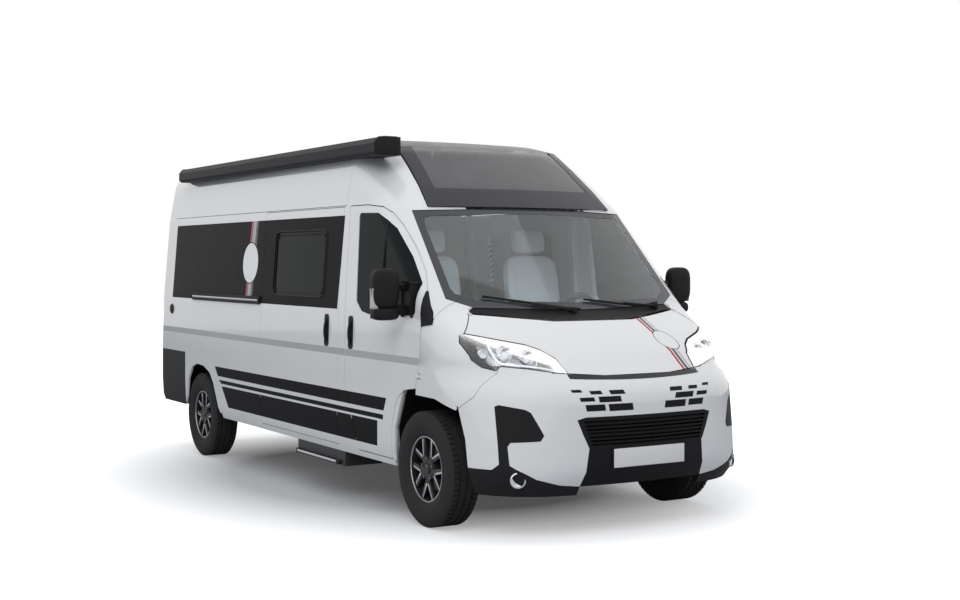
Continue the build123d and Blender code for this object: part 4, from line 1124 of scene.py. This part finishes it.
class VAN_OT_front(bpy.types.Operator):
    """Grille, number plate, wipers and dark plates as painted shade behind the slots"""

    bl_idname = "van.front"
    bl_label = "Front"

    def execute(self, context):
        looks = finishes()
        dressed("grille", [looks["mesh"]])
        # A dark box behind the grille and slots: painted shade of the space behind them
        backing = rounded_box((2.62, -0.575, 0.40), (2.82, 0.575, 0.985), 0.02)
        add_black("front_painted_shade", [backing], look="mesh")
        bars = []
        for i in range(9):
            z, half = 0.592 + i * 0.0165, 0.425 + i * 0.0045
            line = [(skin_x(abs(y), z) - 0.016, y, z) for y in np.linspace(-half, half, 9)]
            bars.append(tube(line, 0.0026))
        for i in range(25):
            y = -0.42 + i * 0.035
            line = [(skin_x(abs(y), z) - 0.020, y, z) for z in (0.588, 0.660, 0.735)]
            bars.append(tube(line, 0.0022))
        add_black("grille_bars", bars, look="gloss_black")
        x = skin_x(0, 0.512)
        holder = rounded_box((x - 0.012, -0.268, 0.448), (x + 0.0005, 0.268, 0.574), 0.004)
        add_black("plate_holder", [holder])
        plate = rounded_box((x - 0.002, -0.260, 0.457), (x + 0.0030, 0.260, 0.567), 0.0015)
        add_piece("front_plate", plate, "body", [looks["plate"]], 40)
        add_black("wipers", self.wipers())
        top = [(y, 0.9845 + 0.013 * (abs(y) / 0.468) ** 2) for y in np.linspace(-0.48, 0.48, 25)]
        low = [(y, z - 0.024) for y, z in top]
        links = [plate_on_front(corners, 0.0012) for corners in zip(top, top[1:], low[1:], low)]
        add_black("bonnet_strip", links, look="gloss_black", smooth=30)
        # Near-black plates inside the slots: painted shade
        add_black("slot_shade_plates", self.slot_shade_plates(), look="mesh", smooth=30)
        cover = plate_on_front(TOW_COVER, 0.0012)
        add_piece("tow_cover", cover, "body", [looks["white"]], 30)
        add_black("sail_panels", self.sails(), smooth=30)
        return {"FINISHED"}

    def slot_shade_plates(self):
        """Dark plates just inside the slots, in three links each: painted shade in the slots."""
        backs, edge, lean = [], 0.0005, 0.0078
        for inner, outer, z, height in SLOTS:
            low, high = z - height / 2 + edge, z + height / 2 - edge
            for side in (-1, 1):
                for i in range(3):
                    a = inner + (outer - inner) * i / 3 + edge
                    b = inner + (outer - inner) * (i + 1) / 3 - edge
                    outline = [(side * a, low), (side * b, low), (side * (b + lean), high),
                               (side * (a + lean), high)]
                    backs.append(plate_on_front(outline, -0.005, 0.012))
        return backs

    def sails(self):
        """Black triangles between door and windscreen, as small plates on the skin."""
        sails, parts = [], 4
        for side in (-1, 1):
            for (a, b), (d, c) in zip(SAIL_ROWS, SAIL_ROWS[1:]):
                for i in range(parts):
                    t, u = i / parts, (i + 1) / parts
                    corners = [along(a, b, t), along(a, b, u), along(d, c, u), along(d, c, t)]
                    sails.append(plate_on_side(corners, side, -0.003, 0.004))
        return sails

    def wipers(self):
        """Two arms and blades at rest on the foot of the windscreen."""
        parts = []

        def spot(y, z, lift):
            return (skin_x(abs(y), z) + lift, y, z)

        for (y0, z0), (y1, z1) in WIPERS:
            middle = ((y0 + y1) / 2, (z0 + z1) / 2)
            arm = [spot(y0, z0, 0.018), spot(y0 * 0.8 + y1 * 0.2, z0 + 0.012, 0.030),
                   spot(*middle, 0.028)]
            parts.append(tube(arm, 0.0065))
            start, line = (middle[0] + 0.33, middle[1] - 0.045), []
            for i in range(9):
                y, z = along(start, (y1, z1), i / 8)
                line.append(spot(y, max(z, 1.358 + 0.10 * abs(y) ** 3), 0.013))
            parts.append(tube(line, 0.0075))
            x = skin_x(abs(y0), z0)
            parts.append(rounded_box((x - 0.02, y0 - 0.016, z0 - 0.018),
                                     (x + 0.026, y0 + 0.016, z0 + 0.018), 0.006))
        return parts


# The awning's end cap (Y, Z), and the filler flap with its profile
AWNING_END = ((-0.964, 2.372), (-0.964, 2.436), (-0.934, 2.474), (-0.890, 2.480),
              (-0.790, 2.480), (-0.790, 2.370), (-0.940, 2.354))
FILLER = (-2.680, 1.222)
FILLER_PROFILE = ((0, 0.0001), (0.010, 0.0001), (0.010, 0.040), (0.004, 0.045), (0, 0.045))
STEP_EDGE = (0.150, 0.806)


class VAN_OT_fittings(bpy.types.Operator):
    """Awning ends, rail, entry step and rear fittings"""

    bl_idname = "van.fittings"
    bl_label = "Fittings"

    def execute(self, context):
        looks = finishes()
        ends = []
        for span in ((-2.592, -2.568), (1.288, 1.312)):
            rings = [[ground((x, y, z)) for y, z in AWNING_END] for x in span]
            ends.append(bevelled(slab(*rings), 0.007, 3))
        add_black("awning_ends", ends)
        rail = tube([(x, -(skin_y(x, 1.35) + 0.013), 1.350) for x in (-2.09, -0.60)], 0.009)
        add_piece("rail_line", rail, "body", [looks["aluminium"]], 40)
        ribs = [tube([(x, -1.004, 0.276) for x in STEP_EDGE], 0.012)]
        count = settings().step_ribs
        for i in range(count):
            y = -0.975 + i * 0.180 / count
            ribs.append(tube([(x, y, 0.2885) for x in STEP_EDGE], 0.0014))
        add_piece("step_ribs", merge(ribs, "step_ribs"), "step", [looks["aluminium"]],
                  40)
        caps = [rounded_box((x, -1.011, 0.258), (x + 0.034, -0.790, 0.292), 0.006)
                for x in (0.116, 0.806)]
        add_black("step_caps", caps, "step")
        x, z = FILLER
        cap = revolved(FILLER_PROFILE, (0, 0, 0), 48, closed=False)
        cap.transform(Matrix.Translation(ground((x, -skin_y(x, z) + 0.001, z)))
                      @ Matrix.Rotation(math.pi, 4, "X"))
        add_black("filler_cap", [cap])
        rear = -2.990
        plate = rounded_box((rear - 0.004, 0.150, 0.870), (rear + 0.004, 0.670, 0.980), 0.002)
        add_piece("rear_plate", plate, "rear_leaf_left", [looks["plate"]], 40)
        handle = rounded_box((rear - 0.006, 0.030, 1.120), (rear + 0.02, 0.110, 1.300), 0.006)
        add_black("rear_handle", [handle], "rear_leaf_left")
        return {"FINISHED"}


def pad(low, high, turn=0.0, channels=0, divisions=18):
    """A crowned cushion whose sides pull in between its corners."""
    bm = bmesh.new()
    bmesh.ops.create_cube(bm, size=2)
    bmesh.ops.subdivide_edges(bm, edges=bm.edges[:], cuts=divisions, use_grid_fill=True)
    centre = between(low, high, (0, 0, 0))
    thin = min(range(3), key=lambda i: high[i] - low[i])
    wide = [i for i in range(3) if i != thin]
    power = 5.0
    tilt = Matrix.Translation(centre) @ Matrix.Rotation(turn, 4, "Y") @ Matrix.Translation(-centre)
    for vert in bm.verts:
        p = vert.co / sum(abs(c) ** power for c in vert.co) ** (1 / power)
        u, v = p[wide[0]], p[wide[1]]
        puff = (1 - min(1, u * u)) * (1 - min(1, v * v))
        groove = 1.0
        if channels:
            groove = 1 - 0.10 * max(0.0, math.cos(u * math.pi * channels)) ** 12
        p[thin] *= (0.86 + 0.14 * puff) * groove
        p[wide[0]] *= 1 - 0.022 * (1 - v * v) * (abs(u) ** 6)
        p[wide[1]] *= 1 - 0.022 * (1 - u * u) * (abs(v) ** 6)
        vert.co = ground(tilt @ between(low, high, p))
    bmesh.ops.recalc_face_normals(bm, faces=bm.faces)
    return mesh_of(bm, "pad")


SEAT_Y = 0.415
BACK_TILT = -0.174


class VAN_OT_inside(bpy.types.Operator):
    """Seats, mattress and bench cushion"""

    bl_idname = "van.inside"
    bl_label = "Inside"

    def execute(self, context):
        for name, side in SIDES:
            y = side * SEAT_Y
            seat = pad((1.085, y - 0.235, 0.892), (1.645, y + 0.235, 1.030), channels=3)
            back = pad((1.045, y - 0.225, 1.020), (1.155, y + 0.225, 1.700), BACK_TILT, 3)
            head = pad((0.985, y - 0.130, 1.710), (1.075, y + 0.130, 1.875), BACK_TILT)
            for label, mesh in (("seat", seat), ("back", back), ("head", head)):
                piece = self.cushion(f"{label}_pad_{name}", mesh, 0.8)
                if (label, name) == ("seat", "right"):
                    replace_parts(piece, "front_seats")
        mattress = pad((-2.855, -0.895, 1.121), (-1.535, 0.895, 1.268), channels=2, divisions=26)
        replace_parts(self.cushion("mattress", mattress, 0.7), "cushions")
        bench = pad((-0.555, 0.435, 1.031), (0.235, 0.895, 1.138), channels=2)
        self.cushion("bench_pad", bench, 0.7)
        return {"FINISHED"}

    def cushion(self, name, mesh, fill):
        """A padded piece of seat fabric."""
        piece = add_piece(name, mesh, "body", [finishes()["seat"]], 60)
        return piece


class VAN_OT_frame(bpy.types.Operator):
    """Finishes of the pieces that stay as the frame has them"""

    bl_idname = "van.frame_looks"
    bl_label = "Frame finishes"

    def execute(self, context):
        looks = finishes()
        kept = {
            "arch_liners": "plastic", "body_frame": "headliner", "floor": "ply",
            "underbody": "steel", "front_frame": "steel", "front_subframe": "steel",
            "rear_axle": "steel", "engine": "cast", "awning": "awning", "slide_rail": "plastic",
            "step_case": "steel", "entry_step": "plastic", "dashboard": "dash",
            "furniture": "cabinet", "knuckle_right": "cast", "knuckle_left": "cast",
            "roof_hatch": "hatch",
        }
        for node, look in kept.items():
            piece = frame["nodes"][node]
            for slot in piece.material_slots:
                slot.material = looks[look]
        return {"FINISHED"}


# Lights as (name, watts, size, place, target), then the photo's camera in the
# level body's metres and degrees, with its lens in millimetres
LIGHTS = (
    ("key_light", 620, 7.0, (9.0, -7.5, 8.5), (0.6, 0, 1.2)),
    ("side_light", 70, 8.0, (-3.0, -11.0, 5.0), (-0.5, 0, 1.3)),
    ("fill_light", 170, 7.0, (6.5, 9.0, 6.0), (0.5, 0, 1.2)),
    ("top_light", 330, 9.0, (-1.0, 0.0, 9.5), (0, 0, 1.0)),
)
CAMERA_PLACE = (9.3766, -5.0186, 1.6658)
CAMERA_YAW = 31.074
CAMERA_DIP = 1.687
CAMERA_LENS = 51.43
FLOOR_HALF = 60.0
FLOOR_COLOUR = (0.55, 0.56, 0.58, 1)
SOFT_COLOUR = (0.92, 0.95, 1.0, 1)
SOFT_STRENGTH = 0.34


class VAN_OT_stage(bpy.types.Operator):
    """Floor, lights, world and camera"""

    bl_idname = "van.stage"
    bl_label = "Stage"

    def execute(self, context):
        scene = context.scene
        scene.view_settings.view_transform = "Standard"
        self.floor(scene)
        self.world(scene)
        for name, energy, size, place, target in LIGHTS:
            light = bpy.data.lights.new(name, "AREA")
            light.energy = energy
            light.size = size
            lamp = bpy.data.objects.new(name, light)
            scene.collection.objects.link(lamp)
            lamp.location = place
            lamp.visible_glossy = False
            way = Vector(target) - Vector(place)
            lamp.rotation_euler = way.to_track_quat("-Z", "Y").to_euler()
        camera = bpy.data.cameras.new("photo_camera")
        camera.lens = CAMERA_LENS
        camera.sensor_width = 36.0
        eye = bpy.data.objects.new("photo_camera", camera)
        scene.collection.objects.link(eye)
        yaw, dip = math.radians(CAMERA_YAW), math.radians(CAMERA_DIP)
        ahead = ground((-math.cos(dip) * math.cos(yaw), math.cos(dip) * math.sin(yaw),
                        -math.sin(dip)))
        right = ground((math.sin(yaw), math.cos(yaw), 0))
        turn = Matrix((right, right.cross(ahead), -ahead)).transposed()
        eye.matrix_world = Matrix.Translation(ground(CAMERA_PLACE)) @ turn.to_4x4()
        scene.camera = eye
        return {"FINISHED"}

    def floor(self, scene):
        """A sheet that keeps the shadow and glows white for the camera further out; the glow fades
        towards the van, a painted shadow round it.
        """
        mesh = bpy.data.meshes.new("floor_sheet")
        r = FLOOR_HALF
        mesh.from_pydata([(-r, -r, 0), (r, -r, 0), (r, r, 0), (-r, r, 0)], [], [(0, 1, 2, 3)])
        floor = bpy.data.objects.new("floor_sheet", mesh)
        scene.collection.objects.link(floor)
        floor.location.z = -0.001
        material = bpy.data.materials.new("pale_floor")
        material.use_nodes = True
        tree = material.node_tree
        shader = tree.nodes["Principled BSDF"]
        for label, value in (("Base Color", FLOOR_COLOUR), ("Roughness", 0.9),
                             ("Specular IOR Level", 0.1)):
            shader.inputs[label].default_value = value
        spot = add_node(tree, "ShaderNodeTexCoord")
        squeeze = add_node(tree, "ShaderNodeVectorMath", {1: (0.75, 1.0, 1.0)},
                           operation="MULTIPLY")
        away = add_node(tree, "ShaderNodeVectorMath", operation="LENGTH")
        # Camera glow from 0.06 near the van to 1 far out: a painted shadow round the van
        painted_shadow_ramp = add_node(tree, "ShaderNodeMapRange", {
            "From Min": 1.3, "From Max": 2.9, "To Min": 0.06, "To Max": 1.0})
        glow = add_node(tree, "ShaderNodeEmission")
        blank = add_node(tree, "ShaderNodeEmission", {"Strength": 0.0})
        path = add_node(tree, "ShaderNodeLightPath")
        mix = add_node(tree, "ShaderNodeMixShader")
        add = add_node(tree, "ShaderNodeAddShader")
        join(tree, (spot, "Object", squeeze, 0), (squeeze, "Vector", away, 0),
             (away, "Value", painted_shadow_ramp, "Value"), (painted_shadow_ramp, "Result", glow, "Strength"),
             (path, "Is Camera Ray", mix, "Fac"), (blank, 0, mix, 1), (glow, 0, mix, 2),
             (mix, 0, add, 0), (shader, 0, add, 1),
             (add, 0, tree.nodes["Material Output"], "Surface"))
        mesh.materials.append(material)

    def world(self, scene):
        """Soft light all round, and a white ground for camera, mirrors and glass."""
        world = bpy.data.worlds.new("studio")
        scene.world = world
        world.use_nodes = True
        tree = world.node_tree
        soft = tree.nodes["Background"]
        soft.inputs["Color"].default_value = SOFT_COLOUR
        soft.inputs["Strength"].default_value = SOFT_STRENGTH
        white = add_node(tree, "ShaderNodeBackground", {"Color": (1, 1, 1, 1), "Strength": 1.0})
        path = add_node(tree, "ShaderNodeLightPath")
        either = add_node(tree, "ShaderNodeMath", operation="MAXIMUM")
        any_of = add_node(tree, "ShaderNodeMath", operation="MAXIMUM")
        mix = add_node(tree, "ShaderNodeMixShader")
        join(tree, (path, "Is Camera Ray", either, 0), (path, "Is Transmission Ray", either, 1),
             (either, 0, any_of, 0), (path, "Is Glossy Ray", any_of, 1), (any_of, 0, mix, "Fac"),
             (soft, 0, mix, 1), (white, 0, mix, 2), (mix, 0, tree.nodes["World Output"], "Surface"))


class VAN_PT_panel(bpy.types.Panel):
    """The van's pieces in the sidebar"""

    bl_idname = "VAN_PT_panel"
    bl_label = "Camper van"
    bl_space_type = "VIEW_3D"
    bl_region_type = "UI"
    bl_category = "Van"

    def draw(self, context):
        own = context.scene.van_sizes
        for name in ("paint", "foil", "tyre_radius", "tyre_width", "tread_blocks", "step_ribs"):
            self.layout.prop(own, name)
        for step in STEPS:
            self.layout.operator(step.bl_idname)


STEPS = (
    VAN_OT_panels,
    VAN_OT_glass,
    VAN_OT_lamps,
    VAN_OT_wheels,
    VAN_OT_mirrors,
    VAN_OT_front,
    VAN_OT_fittings,
    VAN_OT_inside,
    VAN_OT_frame,
    VAN_OT_stage,
)
CLASSES = (VanSizes, *STEPS, VAN_PT_panel)


def register():
    for item in CLASSES:
        bpy.utils.register_class(item)
    bpy.types.Scene.van_sizes = bpy.props.PointerProperty(type=VanSizes)


def unregister():
    del bpy.types.Scene.van_sizes
    for item in reversed(CLASSES):
        bpy.utils.unregister_class(item)


def main():
    """Registers the add-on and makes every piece."""
    register()
    for step in STEPS:
        group, name = step.bl_idname.split(".")
        getattr(getattr(bpy.ops, group), name)()


if __name__ == "__main__":
    main()
